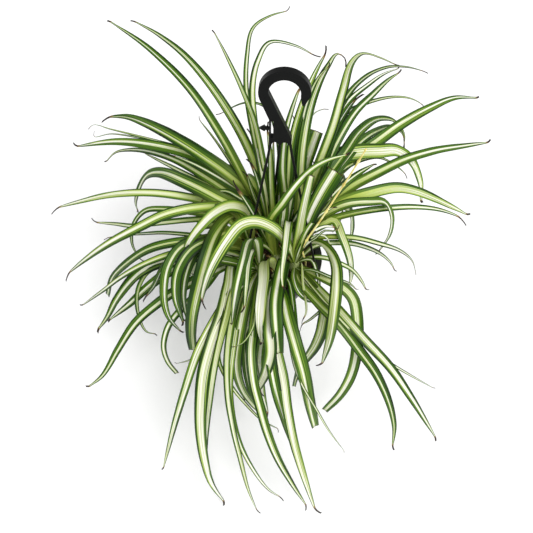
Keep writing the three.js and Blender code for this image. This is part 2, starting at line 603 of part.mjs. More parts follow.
function plateOf(outline, thickness) {
  const straight = { depth: thickness, bevelEnabled: false, curveSegments: 16 };
  const body = new THREE.ExtrudeGeometry(outline, straight);
  body.rotateX(Math.PI / 2);
  body.translate(0, thickness / 2, 0);
  body.rotateZ(radians(HOOK_TURN));
  body.translate(HOOK_X, 0, HANGER_DROP);
  return solidOf(body);
}

function hookSolid() {
  return plateOf(hookOutline(), HOOK_THICK).add(plateOf(nibOutline(), NIB_THICK));
}

// A strand runs from under the plate to its hole in the rim, and is held there by a barbed end.
function strandSolid(name) {
  const [x, y] = aroundAxis(STRAND_RING_R, radians(STRAND_ANGLES[name]));
  const top = hookPoint(STRAND_X[name], 0, -FOOT_DROP - GAP);
  const neck = top.clone().setZ(top.z - STRAND_NECK);
  const rim = new THREE.Vector3(x, y, STRAND_TURN);
  const straight = [0, 0.3, 0.6, 0.9].map((t) => neck.clone().lerp(rim, t));
  const upright = [0.6 * STRAND_TURN, 1, -WALL - 1].map((z) => new THREE.Vector3(x, y, z));
  const barb = turned(
    [
      [0, -WALL - BARB_LENGTH],
      [BARB_R / 3, -WALL - BARB_LENGTH],
      [BARB_R, -WALL - GAP - BARB_FLAT],
      [BARB_R, -WALL - GAP],
      [0, -WALL - GAP],
    ],
    8,
  ).translate([x, y, 0]);
  return tube([top, ...straight, ...upright], STRAND_R, 8, 14).add(barb);
}

// ---------------------------------------------------------------- assembly
const plant = new THREE.Group();
const hang = hookPoint(0, 0, RING_Z + RING_INNER);
plant.position.copy(hang).negate();

function add(name, solid, color, roughness) {
  const material = new THREE.MeshStandardMaterial({ color, roughness, metalness: 0 });
  const mesh = new THREE.Mesh(geometryOf(solid), material);
  mesh.name = name;
  plant.add(mesh);
}

const BLACK_PLASTIC = 0x17191a;
const PEAT = 0x3a2c20;
const LEAF_GREEN = 0x5d8a35;
const STRAW = 0xd9bd6a;

add("pot", potSolid(), BLACK_PLASTIC, 0.5);
add("soil", soilSolid(), PEAT, 0.95);
add("hanger_hook", hookSolid(), BLACK_PLASTIC, 0.45);
for (const name of Object.keys(STRAND_ANGLES)) {
  add(name, strandSolid(name), BLACK_PLASTIC, 0.45);
}
for (const name of Object.keys(ROSETTES)) {
  add(`rosette_${name}`, rosetteOf(name), LEAF_GREEN, 0.55);
}
add("flower_stalk", stalkSolid(), STRAW, 0.8);

const root = new THREE.Group();
root.add(plant);

export default root;
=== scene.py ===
import math
import random

import bmesh
import bpy
import numpy as np
from mathutils import Matrix, Vector, noise
from mathutils.geometry import interpolate_bezier


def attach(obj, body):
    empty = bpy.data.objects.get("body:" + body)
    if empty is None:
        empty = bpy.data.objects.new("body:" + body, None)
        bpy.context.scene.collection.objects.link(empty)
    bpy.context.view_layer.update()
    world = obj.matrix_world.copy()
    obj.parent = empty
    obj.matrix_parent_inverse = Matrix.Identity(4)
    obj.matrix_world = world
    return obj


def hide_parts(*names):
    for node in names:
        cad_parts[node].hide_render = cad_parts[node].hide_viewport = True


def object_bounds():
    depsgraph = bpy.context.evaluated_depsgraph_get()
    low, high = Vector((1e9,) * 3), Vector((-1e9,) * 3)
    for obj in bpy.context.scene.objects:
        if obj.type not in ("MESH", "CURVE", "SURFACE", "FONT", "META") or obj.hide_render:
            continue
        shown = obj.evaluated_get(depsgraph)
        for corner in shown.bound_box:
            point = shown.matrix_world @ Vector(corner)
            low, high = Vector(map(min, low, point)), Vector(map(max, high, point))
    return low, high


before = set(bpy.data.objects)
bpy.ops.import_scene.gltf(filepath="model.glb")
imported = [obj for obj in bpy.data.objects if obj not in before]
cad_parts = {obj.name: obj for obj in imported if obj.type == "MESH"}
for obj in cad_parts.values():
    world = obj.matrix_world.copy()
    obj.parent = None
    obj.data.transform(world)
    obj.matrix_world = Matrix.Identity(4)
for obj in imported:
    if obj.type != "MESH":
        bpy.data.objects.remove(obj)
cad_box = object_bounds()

# ------------------------------ viewpoint
# The photograph looks down on the plant from 55 degrees above level, 72 cm from the middle of the pot's
# rim, which stands a little right of and above the picture's centre. The frame's origin is the inside
# top of the hook, so the rim lies 273 mm below it.
RIM = Vector((-0.0053, 0, -0.2733))
DISTANCE = 0.72
ELEVATION = math.radians(55)
FOCAL_PX = 561
PHOTO_CENTRE = (266.5, 266.5)
RIM_CENTRE_PX = (275, 256)
SENSOR_MM = 36
PHOTO_SIDE_PX = 533

outward = Vector((0, -math.cos(ELEVATION), math.sin(ELEVATION)))
eye = RIM + DISTANCE * outward
aim_right = (PHOTO_CENTRE[0] - RIM_CENTRE_PX[0]) / FOCAL_PX * DISTANCE
aim_up = (RIM_CENTRE_PX[1] - PHOTO_CENTRE[1]) / FOCAL_PX * DISTANCE
aim = RIM + Vector((aim_right, aim_up * math.sin(ELEVATION), aim_up * math.cos(ELEVATION)))
forward = (aim - eye).normalized()
sideways = forward.cross(Vector((0, 0, 1))).normalized()
upwards = sideways.cross(forward)

camera = bpy.data.objects.new("camera", bpy.data.cameras.new("camera"))
camera.data.sensor_width = SENSOR_MM
camera.data.lens = FOCAL_PX / PHOTO_SIDE_PX * SENSOR_MM
camera.location = eye
camera.rotation_euler = forward.to_track_quat("-Z", "Y").to_euler()
bpy.context.collection.objects.link(camera)
bpy.context.scene.camera = camera

# ------------------------------ floor and studio light
# A matt white floor lies just under the lowest leaf tips. One large soft lamp stands high above, to the
# right and on the viewer's side, and a white room fills the shadows.
FLOOR_BELOW_TIPS = 0.008
FLOOR_SIDE = 40
ROOM_STRENGTH = 0.6
LAMP_STRENGTH = 2.4
LAMP_SPREAD = math.radians(38)
LAMP_DIRECTION = Vector((-0.42, 0.6, -1))
bpy.context.scene.view_settings.view_transform = "Standard"


def linear(colour):
    """An sRGB hex colour as linear red, green and blue, and full alpha."""
    parts = [int(colour[i : i + 2], 16) / 255 for i in (1, 3, 5)]
    return (*[c / 12.92 if c <= 0.04045 else ((c + 0.055) / 1.055) ** 2.4 for c in parts], 1)


def node(material, kind, inputs=None, stops=None, **settings):
    """Adds a node. Inputs are values or the sockets that feed them; stops are a colour ramp's colours."""
    tree = material.node_tree
    made = tree.nodes.new(kind)
    for name, value in settings.items():
        setattr(made, name, value)
    for name, value in (inputs or {}).items():
        if isinstance(value, bpy.types.NodeSocket):
            tree.links.new(value, made.inputs[name])
        else:
            made.inputs[name].default_value = value
    if stops:
        ramp = made.color_ramp.elements
        while len(ramp) < len(stops):
            ramp.new(0.5)
        for stop, (position, colour) in zip(ramp, stops):
            stop.position = position
            stop.color = linear(colour)
    return made


def finish_of(name, **uniform):
    """A new material, with the values that are the same all over its surface set on the shader."""
    material = bpy.data.materials.new(name)
    material.use_nodes = True
    shader = material.node_tree.nodes["Principled BSDF"]
    for socket, value in uniform.items():
        shader.inputs[socket.replace("_", " ")].default_value = value
    return material, shader


def link(material, source, socket):
    """Feeds a socket from another node's output."""
    material.node_tree.links.new(source, socket)


def piece_of(mesh, name, *materials):
    """Makes a bmesh an object at the origin, with its materials."""
    data = bpy.data.meshes.new(name)
    mesh.to_mesh(data)
    mesh.free()
    piece = bpy.data.objects.new(name, data)
    bpy.context.collection.objects.link(piece)
    for material in materials:
        data.materials.append(material)
    return piece


floor_mesh = bmesh.new()
bmesh.ops.create_grid(floor_mesh, x_segments=1, y_segments=1, size=FLOOR_SIDE / 2)
bmesh.ops.translate(floor_mesh, verts=floor_mesh.verts, vec=(0, 0, cad_box[0][2] - FLOOR_BELOW_TIPS))
white_floor, _ = finish_of("matt_white_floor", Base_Color=linear("#fbfbfb"), Roughness=0.9)
piece_of(floor_mesh, "floor", white_floor)

world = bpy.data.worlds.new("white_room")
bpy.context.scene.world = world
world.use_nodes = True
world.node_tree.nodes["Background"].inputs["Color"].default_value = linear("#ffffff")
world.node_tree.nodes["Background"].inputs["Strength"].default_value = ROOM_STRENGTH

sun = bpy.data.lights.new("large_soft_lamp", "SUN")
sun.energy = LAMP_STRENGTH
sun.angle = LAMP_SPREAD
lamp = bpy.data.objects.new("large_soft_lamp", sun)
lamp.rotation_euler = LAMP_DIRECTION.to_track_quat("-Z", "Y").to_euler()
bpy.context.collection.objects.link(lamp)

# ------------------------------ hanger
# A clip hanger injection-moulded in black polypropylene: a flat hook with rounded edges and a barbed
# label nib, and three thin strands whose barbed ends snap through the holes in the pot's rim.
HOOK_EDGE = 0.0009
STRAND_EDGE = 0.0003
ROUNDING_STEPS = 3
SAME_SPOT = 1e-6
# Facets that meet at less than the first angle are one flat face, and edges over the second are rounded.
FLAT_BELOW = math.radians(1)
SHARP_ABOVE = math.radians(40)

# Polypropylene straight from a polished mould: black, softly shiny, with a slight haze of handling.
black_pp, shader = finish_of("moulded_black_polypropylene", IOR=1.49, Specular_IOR_Level=0.12)
place = node(black_pp, "ShaderNodeTexCoord").outputs["Object"]
haze = node(black_pp, "ShaderNodeTexNoise", {"Vector": place, "Scale": 55, "Detail": 4})
tone = node(
    black_pp, "ShaderNodeValToRGB", {"Fac": haze.outputs["Fac"]},
    stops=[(0.3, "#030404"), (0.7, "#090b0a")],
)
link(black_pp, tone.outputs["Color"], shader.inputs["Base Color"])
gloss = node(
    black_pp, "ShaderNodeMapRange",
    {"Value": haze.outputs["Fac"], "From Min": 0.3, "From Max": 0.7, "To Min": 0.3, "To Max": 0.48},
)
link(black_pp, gloss.outputs["Result"], shader.inputs["Roughness"])
# The mould's fine grain is about 0.2 mm, drawn at 0.5 mm so that it shows.
grain = node(black_pp, "ShaderNodeTexNoise", {"Vector": place, "Scale": 2000, "Detail": 2})
bump = node(
    black_pp, "ShaderNodeBump", {"Height": grain.outputs["Fac"], "Strength": 0.15, "Distance": 0.0001}
)
link(black_pp, bump.outputs["Normal"], shader.inputs["Normal"])


def rounded_copy(name, edge, material, cad_node):
    """Stands for a CAD node: its shape with its sharp edges rounded over."""
    mesh = bmesh.new()
    mesh.from_mesh(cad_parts[cad_node].data)
    bmesh.ops.remove_doubles(mesh, verts=mesh.verts, dist=SAME_SPOT)
    bmesh.ops.dissolve_limit(
        mesh, angle_limit=FLAT_BELOW, verts=mesh.verts, edges=mesh.edges, use_dissolve_boundaries=False
    )
    piece = piece_of(mesh, name, material)
    rounding = piece.modifiers.new("rounded edges", "BEVEL")
    rounding.width = edge
    rounding.segments = ROUNDING_STEPS
    rounding.limit_method = "ANGLE"
    rounding.angle_limit = SHARP_ABOVE
    rounding.miter_outer = "MITER_ARC"
    piece.data.shade_smooth()
    weighted = piece.modifiers.new("flat faces stay flat", "WEIGHTED_NORMAL")
    weighted.keep_sharp = True
    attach(piece, "root")
    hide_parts(cad_node)


rounded_copy("clip_hook", HOOK_EDGE, black_pp, "hanger_hook")
for side in ("back", "left", "right"):
    rounded_copy(f"hanger_strand_{side}", STRAND_EDGE, black_pp, f"strand_{side}")

# ------------------------------ pot
# A 12 cm nursery pot, thin-walled and injection-moulded in the same black polypropylene, with a flat
# turned-down rim and drainage holes. It is duller than the hook, and dusty with dried peat and water.
POT_EDGE = 0.0004

# The same plastic from a spark-eroded mould: satin black, with paler and duller patches of dried water.
pot_pp, shader = finish_of("satin_black_polypropylene", IOR=1.49, Specular_IOR_Level=0.4)
place = node(pot_pp, "ShaderNodeTexCoord").outputs["Object"]
marks = node(pot_pp, "ShaderNodeTexNoise", {"Vector": place, "Scale": 28, "Detail": 6, "Roughness": 0.65})
dust = node(
    pot_pp, "ShaderNodeValToRGB", {"Fac": marks.outputs["Fac"]},
    stops=[(0.45, "#151817"), (0.68, "#2b2c28")],
)
link(pot_pp, dust.outputs["Color"], shader.inputs["Base Color"])
gloss = node(
    pot_pp, "ShaderNodeMapRange",
    {"Value": marks.outputs["Fac"], "From Min": 0.4, "From Max": 0.7, "To Min": 0.42, "To Max": 0.62},
)
link(pot_pp, gloss.outputs["Result"], shader.inputs["Roughness"])
# The eroded grain is about 0.3 mm, drawn at 0.6 mm so that it shows.
grain = node(pot_pp, "ShaderNodeTexNoise", {"Vector": place, "Scale": 1600, "Detail": 2})
bump = node(pot_pp, "ShaderNodeBump", {"Height": grain.outputs["Fac"], "Strength": 0.3, "Distance": 0.0001})
link(pot_pp, bump.outputs["Normal"], shader.inputs["Normal"])
rounded_copy("nursery_pot", POT_EDGE, pot_pp, "pot")

# ------------------------------ soil
# Dark peat compost fills the pot to 7 mm under its rim, a little higher in the middle, crumbly and with
# chips of composted bark on it.
SOIL_TOP = -0.007
SOIL_CROWN = 0.003
SOIL_RADIUS = 0.0497
SOIL_BOTTOM = -0.058
SOIL_BOTTOM_RADIUS = 0.038
SOIL_RINGS = 22
SOIL_SIDES = 96
MERGE_WITHIN = 1e-5
# Its top is crumbly, apart from a margin along the wall. The crumbs come in two sizes.
SOIL_MARGIN = 0.001
CRUMB_HEIGHT = 0.0016
CRUMBS_PER_M = 160
FINE_CRUMBS_PER_M = 420
FINE_CRUMB_SHARE = 0.6
# Chips of bark: how many, how far they keep from the wall, half their length, how wide and thick they are
# for that, how far they tip, in radians, and how high their middles lie above the soil.
BARK_CHIPS = 260
BARK_FROM_WALL = 0.003
BARK_HALF_LENGTH = (0.0008, 0.0030)
BARK_WIDTH = (0.4, 0.8)
BARK_THICKNESS = 0.35
BARK_TIP = 0.5
BARK_LIFT = 0.0006
BARK_SEED = 4


def soil_height(inwards):
    """How high the soil lies at a share of the way from its edge to its middle."""
    return SOIL_TOP + SOIL_CROWN * math.sin(inwards * math.pi / 2)


soil = bmesh.new()
profile = [Vector((0, 0, SOIL_BOTTOM)), Vector((SOIL_BOTTOM_RADIUS, 0, SOIL_BOTTOM))]
for ring in range(SOIL_RINGS + 1):
    inwards = ring / SOIL_RINGS
    profile.append(Vector((SOIL_RADIUS * (1 - inwards), 0, soil_height(inwards))))
verts = [soil.verts.new(corner) for corner in profile]
edges = [soil.edges.new(pair) for pair in zip(verts, verts[1:])]
bmesh.ops.spin(
    soil, geom=verts + edges, axis=(0, 0, 1), cent=(0, 0, 0), angle=math.tau, steps=SOIL_SIDES,
    use_merge=True,
)
bmesh.ops.remove_doubles(soil, verts=soil.verts, dist=MERGE_WITHIN)
for vert in soil.verts:
    if vert.co.z > SOIL_TOP - SOIL_MARGIN and vert.co.xy.length < SOIL_RADIUS - SOIL_MARGIN:
        fine = noise.noise(vert.co * FINE_CRUMBS_PER_M)
        vert.co.z += CRUMB_HEIGHT * (noise.noise(vert.co * CRUMBS_PER_M) + FINE_CRUMB_SHARE * fine)
chance = random.Random(BARK_SEED)
for _ in range(BARK_CHIPS):
    reach = (SOIL_RADIUS - BARK_FROM_WALL) * math.sqrt(chance.random())
    bearing = chance.uniform(0, math.tau)
    size = chance.uniform(*BARK_HALF_LENGTH)
    turn = Matrix.Rotation(chance.uniform(0, math.tau), 4, "Z")
    turn = turn @ Matrix.Rotation(chance.uniform(-BARK_TIP, BARK_TIP), 4, "X")
    stretch = Matrix.Diagonal((size, size * chance.uniform(*BARK_WIDTH), size * BARK_THICKNESS, 1))
    lift = soil_height(1 - reach / SOIL_RADIUS) + BARK_LIFT
    spot = Matrix.Translation((reach * math.cos(bearing), reach * math.sin(bearing), lift))
    bmesh.ops.create_icosphere(soil, subdivisions=1, radius=1, matrix=spot @ turn @ stretch)
bmesh.ops.recalc_face_normals(soil, faces=soil.faces)
bmesh.ops.translate(soil, verts=soil.verts, vec=RIM)

# Moist peat is nearly black brown and matt. Fibres and dried crumbs are paler, about 1.5 mm across.
peat, shader = finish_of("peat_compost", Roughness=0.95, IOR=1.4)
place = node(peat, "ShaderNodeTexCoord").outputs["Object"]
crumbs = node(peat, "ShaderNodeTexNoise", {"Vector": place, "Scale": 700, "Detail": 6, "Roughness": 0.7})
tone = node(
    peat, "ShaderNodeValToRGB", {"Fac": crumbs.outputs["Fac"]},
    stops=[(0.35, "#17100b"), (0.55, "#35261a"), (0.72, "#6a5238")],
)
link(peat, tone.outputs["Color"], shader.inputs["Base Color"])
bump = node(peat, "ShaderNodeBump", {"Height": crumbs.outputs["Fac"], "Strength": 0.9, "Distance": 0.0008})
link(peat, bump.outputs["Normal"], shader.inputs["Normal"])
piece = piece_of(soil, "peat_compost", peat)
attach(piece, "root")
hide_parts("soil")

# ------------------------------ leaves
# A spider plant grows its ribbon leaves in rosettes from short stems. Each leaf is a thin channel, folded
# sharply at its base, with a cream centre, green margins and a tip that dries brown; some are snipped off.
# The rosettes stand this far right of the middle of the pot's rim and this far behind it, in mm.
ROSETTES = {
    "back": (-4, 27),
    "right": (27, 22),
    "left": (-30, 7),
    "front_left": (-19, -21),
    "front": (2, -32),
    "front_right": (25, -14),
    "centre": (1, -3),
}
# A leaf ends in a dried point, is snipped across near its end, or is a stump snipped where it is widest.
POINT = "point"
CUT = "cut"
STUMP = "stump"
ARCH_STEPS = 6
MM = 0.001


def at_height(pixel, height):
    """The point at a height in mm above the rim that the photograph shows at a pixel."""
    x, y = pixel
    right = (x - PHOTO_CENTRE[0]) / FOCAL_PX
    up = (PHOTO_CENTRE[1] - y) / FOCAL_PX
    ray = forward + sideways * right + upwards * up
    return eye + ray * ((RIM.z + height * MM - eye.z) / ray.z)


def pixel_of(point):
    """The pixel at which the photograph shows a point."""
    ray = point - eye
    depth = ray.dot(forward)
    return (
        PHOTO_CENTRE[0] + FOCAL_PX * ray.dot(sideways) / depth,
        PHOTO_CENTRE[1] - FOCAL_PX * ray.dot(upwards) / depth,
    )


def arch_height(t, middle, tip):
    """The height along a smooth arch from the rim's level through one height half way to another."""
    return 4 * middle * t * (1 - t) + tip * t * (2 * t - 1)


def root_of(rosette):
    """Where a rosette's leaves start, at the height of the pot's rim."""
    return RIM + Vector((*ROSETTES[rosette], 0)) * MM


leaves = {name: [] for name in ROSETTES}


def leaf(rosette, width, midrib, middle, tip, end=POINT, **looks):
    """A leaf that the photograph shows: its width in mm, its midrib in pixels from base to tip, its height
    in mm above the rim half way along and at the tip, how it ends, and looks that aren't left to chance."""
    pixels = [pixel_of(root_of(rosette)), *midrib]
    run = np.cumsum([0, *(math.dist(a, b) for a, b in zip(pixels, pixels[1:]))])
    points = [at_height(pixel, arch_height(t, middle, tip)) for pixel, t in zip(pixels, run / run[-1])]
    leaves[rosette].append((width * MM, points, end, looks))


def free_leaf(rosette, width, azimuth, reach, middle, tip, **looks):
    """A leaf with no midrib in pixels. It leaves its rosette at an azimuth in degrees, and its width, its
    reach and its heights above the rim half way along and at the tip are in mm."""
    bearing = math.radians(azimuth)
    points = []
    for step in range(ARCH_STEPS + 1):
        t = step / ARCH_STEPS
        out = reach * math.sin(t * math.pi / 2)
        along = Vector((out * math.cos(bearing), out * math.sin(bearing), arch_height(t, middle, tip)))
        points.append(root_of(rosette) + along * MM)
    leaves[rosette].append((width * MM, points, POINT, looks))


# Leaves that rise behind the hook, from the left round to the right.
leaf("back", 12, [(258, 206), (240, 170), (221, 135), (191, 90), (151, 50), (108, 20)],
     150, 195, stripe=0.2, age=0.6)
leaf("back", 13, [(263, 190), (252, 157), (235, 123), (213, 89), (187, 58), (160, 36), (132, 20)],
     160, 190, stripe=0.34, age=0.6)
leaf("back", 8, [(268, 190), (263, 160), (254, 120), (241, 87), (226, 55), (213, 30)], 185, 250)
leaf("back", 11, [(266, 190), (258, 152), (250, 116), (246, 90)], 140, 185)
leaf("back", 7, [(270, 197), (262, 175), (252, 130), (246, 90), (247, 55), (253, 28), (270, 16),
     (292, 10)], 195, 215)
leaf("back", 9, [(267, 195), (260, 170), (255, 130), (252, 90), (258, 60), (271, 42), (296, 46),
     (320, 59)], 180, 150)
leaf("back", 5, [(252, 197), (245, 185), (232, 165), (215, 140), (197, 117)], 85, 110)
leaf("back", 7, [(279, 190), (280, 160), (276, 130), (265, 107), (245, 103), (216, 116)], 141, 130)
leaf("back", 11, [(284, 200), (282, 165), (286, 130), (296, 97), (304, 78)], 160, 225)
leaf("back", 11, [(288, 190), (292, 142), (301, 108), (312, 80), (322, 60), (330, 48)], 180, 235)
leaf("right", 9, [(298, 190), (299, 142), (306, 105), (318, 78), (332, 64)], 165, 215)
leaf("back", 19, [(250, 193), (230, 175), (205, 157), (180, 141), (152, 126), (127, 117), (104, 117)],
     100, 60, stripe=0.2, age=0.8)
leaf("back", 16, [(252, 199), (235, 181), (210, 164), (185, 153), (150, 145), (115, 142), (73, 147)],
     85, 30, stripe=0.3, age=0.6)

# Leaves that rise and reach to the right.
leaf("right", 13, [(300, 190), (303, 145), (309, 112), (318, 85), (328, 66), (338, 54), (345, 58),
     (349, 66)], 180, 190, stripe=0.35, age=0.7)
leaf("right", 13, [(308, 195), (319, 165), (333, 128), (343, 92), (352, 63), (363, 54), (380, 58),
     (400, 67)], 175, 150, stripe=0.4, age=0.75)
leaf("right", 9, [(312, 190), (325, 150), (342, 105), (362, 80), (385, 68), (405, 67), (427, 72)], 160, 130)
leaf("right", 12, [(312, 200), (326, 165), (340, 136), (355, 112), (372, 95), (388, 80), (402, 71)],
     145, 150)
leaf("right", 9, [(310, 195), (322, 155), (335, 122), (350, 100), (368, 85), (384, 74), (400, 68)],
     150, 155)
leaf("right", 7, [(314, 185), (327, 137), (345, 114), (370, 102), (395, 97), (412, 99), (425, 106)],
     135, 100)
leaf("right", 17, [(318, 198), (335, 174), (350, 160), (375, 143), (400, 125), (430, 108), (455, 98),
     (479, 98)], 100, 85, stripe=0.3, age=0.6)
leaf("right", 16, [(320, 208), (335, 198), (355, 185), (380, 172), (405, 160), (435, 151), (465, 146),
     (492, 142)], 80, 50, stripe=0.3, age=0.55)
leaf("right", 17, [(325, 212), (345, 201), (370, 193), (395, 188), (415, 191), (435, 199), (470, 216)],
     72, 10, stripe=0.55, age=0.2, blanch=1.6)
leaf("right", 10, [(325, 222), (350, 214), (380, 209), (410, 207), (435, 209), (455, 215), (467, 222)],
     50, 15)
leaf("right", 14, [(325, 215), (345, 205), (370, 202), (385, 203), (391, 215), (390, 232), (377, 254)],
     80, -30, stripe=0.35, age=0.8)
leaf("right", 16, [(320, 188), (345, 152), (360, 131), (379, 119), (395, 122), (404, 135), (403, 150)],
     130, 60, stripe=0.2, age=0.9)
leaf("right", 13, [(322, 190), (345, 160), (360, 142), (376, 131), (391, 127), (402, 133), (405, 147)],
     108, 40, stripe=0.25, age=0.9)
leaf("right", 22, [(316, 190), (325, 170), (339, 156), (358, 152), (379, 151), (397, 151), (411, 161),
     (420, 182), (421, 203)], 108, 0, stripe=0.55, age=0.2)
leaf("right", 18, [(312, 200), (327, 152), (340, 123), (351, 105), (361, 94)],
     128, 165, stripe=0.2, age=0.98)
leaf("right", 7, [(320, 190), (340, 172), (360, 161), (380, 158), (396, 166), (408, 176)], 85, 55)
leaf("right", 13, [(320, 210), (338, 190), (356, 175), (376, 163)], 70, 75, stripe=0.2, age=0.8)
leaf("right", 7, [(301, 185), (302, 155), (297, 130), (292, 112)], 115, 185)
leaf("right", 16, [(303, 195), (306, 165), (311, 148), (317, 131)], 90, 150, STUMP, stripe=0.38, age=0.9)
leaf("front_right", 22, [(301, 243), (311, 215), (323, 192), (336, 171)],
     95, 148, STUMP, stripe=0.3, age=0.8)
leaf("right", 12, [(322, 226), (334, 221), (342, 237), (349, 257), (351, 273), (349, 288)],
     50, -60, stripe=0.6, age=0.3)
leaf("right", 8, [(318, 238), (330, 237), (355, 238), (380, 244), (400, 251), (412, 261), (416, 274)],
     42, -60)

# Leaves that reach or arch over to the left.
leaf("left", 11, [(245, 205), (225, 190), (200, 174), (175, 160), (150, 152), (130, 150), (115, 153),
     (105, 163)], 75, 0)
leaf("left", 20, [(240, 212), (215, 197), (185, 182), (160, 173), (147, 176), (139, 190), (136, 203),
     (139, 213)], 85, -35, stripe=0.25, age=0.95)
leaf("left", 12, [(230, 209), (205, 201), (165, 194), (135, 193), (105, 196), (75, 203), (52, 209)],
     65, 10, stripe=0.5, age=0.45)
leaf("left", 14, [(245, 213), (225, 207), (195, 208), (165, 215), (140, 227), (110, 243), (85, 260),
     (65, 276)], 90, -30, stripe=0.38, age=0.6)
leaf("left", 9, [(235, 224), (210, 219), (190, 220), (160, 223), (135, 226), (115, 224), (90, 222)], 42, 0)
leaf("left", 7, [(235, 238), (210, 238), (190, 235), (165, 233), (140, 234), (120, 236), (105, 238)],
     30, -10)
leaf("back", 12, [(255, 200), (238, 190), (215, 176), (195, 165), (172, 155)], 75, 85)
leaf("left", 8, [(252, 206), (240, 198), (226, 191), (213, 193), (204, 199), (198, 205)], 70, 60)
leaf("left", 9, [(225, 217), (200, 213), (165, 209), (145, 211), (134, 224), (132, 242), (141, 262)],
     62, -60)
leaf("left", 17, [(248, 212), (231, 206), (215, 213), (199, 229), (187, 246), (181, 262)],
     85, 27, stripe=0.5, age=0.15)
leaf("left", 19, [(246, 219), (232, 217), (216, 233), (206, 258), (198, 287), (192, 315), (191, 335),
     (193, 350)], 55, -88, CUT, stripe=0.24, age=0.95)
leaf("left", 17, [(232, 234), (212, 240), (192, 250), (179, 270), (176, 294), (184, 325)],
     52, -48, stripe=0.2, age=0.95)
leaf("left", 15, [(230, 237), (205, 240), (182, 246), (168, 266), (164, 290), (168, 315), (182, 333)],
     50, -60, stripe=0.3, age=0.95)
leaf("left", 15, [(232, 240), (213, 243), (197, 252), (188, 270), (184, 292), (186, 312), (190, 326)],
     40, -55, stripe=0.2, age=0.9)
leaf("left", 9, [(232, 243), (215, 248), (201, 259), (192, 274)], 26, 5, CUT, stripe=0.7, age=0.0)
leaf("left", 14, [(230, 242), (205, 241), (175, 243), (148, 250), (128, 263), (113, 278), (108, 295)],
     48, -50, CUT, stripe=0.2, age=0.9)
leaf("left", 11, [(228, 247), (205, 247), (180, 252), (150, 262), (125, 275), (103, 291), (80, 307)],
     38, -44)

# Leaves that hang from the front left.
leaf("front_left", 23, [(228, 255), (190, 257), (163, 262), (143, 271), (128, 285), (117, 300),
     (107, 318), (97, 331)], -2, -85, stripe=0.3, age=0.85)
leaf("front_left", 18, [(228, 260), (197, 262), (170, 272), (150, 286), (131, 303), (108, 321)],
     -8, -90, stripe=0.35, age=0.8)
leaf("front_left", 9, [(225, 262), (190, 262), (165, 265), (148, 272), (138, 290), (138, 312), (146, 331),
     (158, 334)], 0, -100)
leaf("front_left", 16, [(228, 262), (197, 258), (175, 259), (163, 269), (154, 286), (143, 300)],
     32, -50, stripe=0.15, age=0.95)
leaf("front_left", 15, [(232, 265), (210, 274), (185, 286), (160, 302), (135, 324), (118, 350),
     (103, 375), (87, 388)], -14, -110)
leaf("front_left", 11, [(233, 257), (204, 288), (182, 309), (169, 326), (164, 346), (168, 361),
     (177, 373)], -16, -115, CUT)
leaf("front_left", 12, [(244, 270), (230, 295), (213, 323), (198, 352), (186, 387), (176, 420),
     (168, 450), (163, 470)], -10, -200, stripe=0.5, age=0.5)
leaf("front_left", 18, [(234, 261), (228, 287), (222, 315), (212, 343), (204, 372), (201, 402),
     (201, 432), (205, 462), (212, 484), (226, 504)], -15, -240, stripe=0.55, age=0.85, dry=0.012)
leaf("front_left", 10, [(240, 275), (226, 320), (216, 360), (210, 400), (206, 440), (206, 470),
     (208, 486)], -10, -225, stripe=0.5, age=0.6)
leaf("front_left", 9, [(242, 280), (231, 325), (227, 360), (228, 395), (233, 427), (240, 457),
     (248, 488), (258, 513)], -15, -230, stripe=0.45, age=0.9)
leaf("front_left", 8, [(246, 285), (234, 345), (230, 385), (232, 412), (239, 441), (251, 466), (268, 489),
     (284, 499)], -25, -235, stripe=0.5, age=0.8)
leaf("front_left", 14, [(256, 240), (250, 241), (244, 260), (238, 285), (234, 308), (232, 325)],
     114, 20, stripe=0.3, age=0.85)
leaf("front_left", 12, [(254, 250), (249, 258), (246, 285), (244, 312)], 58, 25, stripe=0.4, age=0.9)
leaf("front_left", 15, [(250, 290), (240, 335), (237, 365), (242, 387), (253, 404), (266, 417)], -5, -170)
leaf("front_left", 6, [(236, 285), (221, 330), (219, 360), (231, 385), (246, 404), (262, 420), (281, 430)],
     0, -150, age=0.3)

# Leaves that hang straight down in front.
leaf("front", 18, [(271, 262), (266, 262), (264, 282), (261, 305), (260, 322), (262, 345)],
     58, 0, stripe=0.85, age=0.05, blanch=0.7)
leaf("front", 13, [(262, 300), (251, 345), (253, 380), (260, 408), (267, 432), (277, 457), (291, 482),
     (308, 508)], -25, -225, stripe=0.4, age=0.75)
leaf("front", 14, [(276, 310), (276, 345), (283, 378), (287, 408), (293, 439), (301, 467), (310, 495),
     (317, 515)], -30, -205, stripe=0.6, age=0.65, dry=0.02)
leaf("front", 15, [(272, 305), (270, 335), (271, 360), (276, 390), (284, 418), (291, 441), (295, 457)],
     2, -150, stripe=0.22, age=0.95)
leaf("front", 18, [(271, 295), (270, 330), (271, 352), (266, 372), (259, 387), (253, 400)],
     35, -80, stripe=0.5, age=0.9)
leaf("front", 11, [(266, 295), (255, 320), (249, 340), (250, 360), (257, 381), (262, 398)], -4, -110)
leaf("front", 5, [(264, 290), (256, 310), (253, 328), (243, 343), (231, 348)], 30, 20, age=0.3)
leaf("front", 18, [(284, 300), (288, 318), (295, 343), (303, 371), (310, 405), (315, 426)],
     5, -130, CUT, stripe=0.3, age=0.45)
leaf("front", 18, [(283, 262), (279, 283), (276, 305), (277, 330), (279, 353)],
     55, 15, CUT, stripe=0.27, age=0.95)
leaf("front", 4, [(286, 320), (296, 370), (318, 412), (330, 432), (345, 452)], -15, -190)

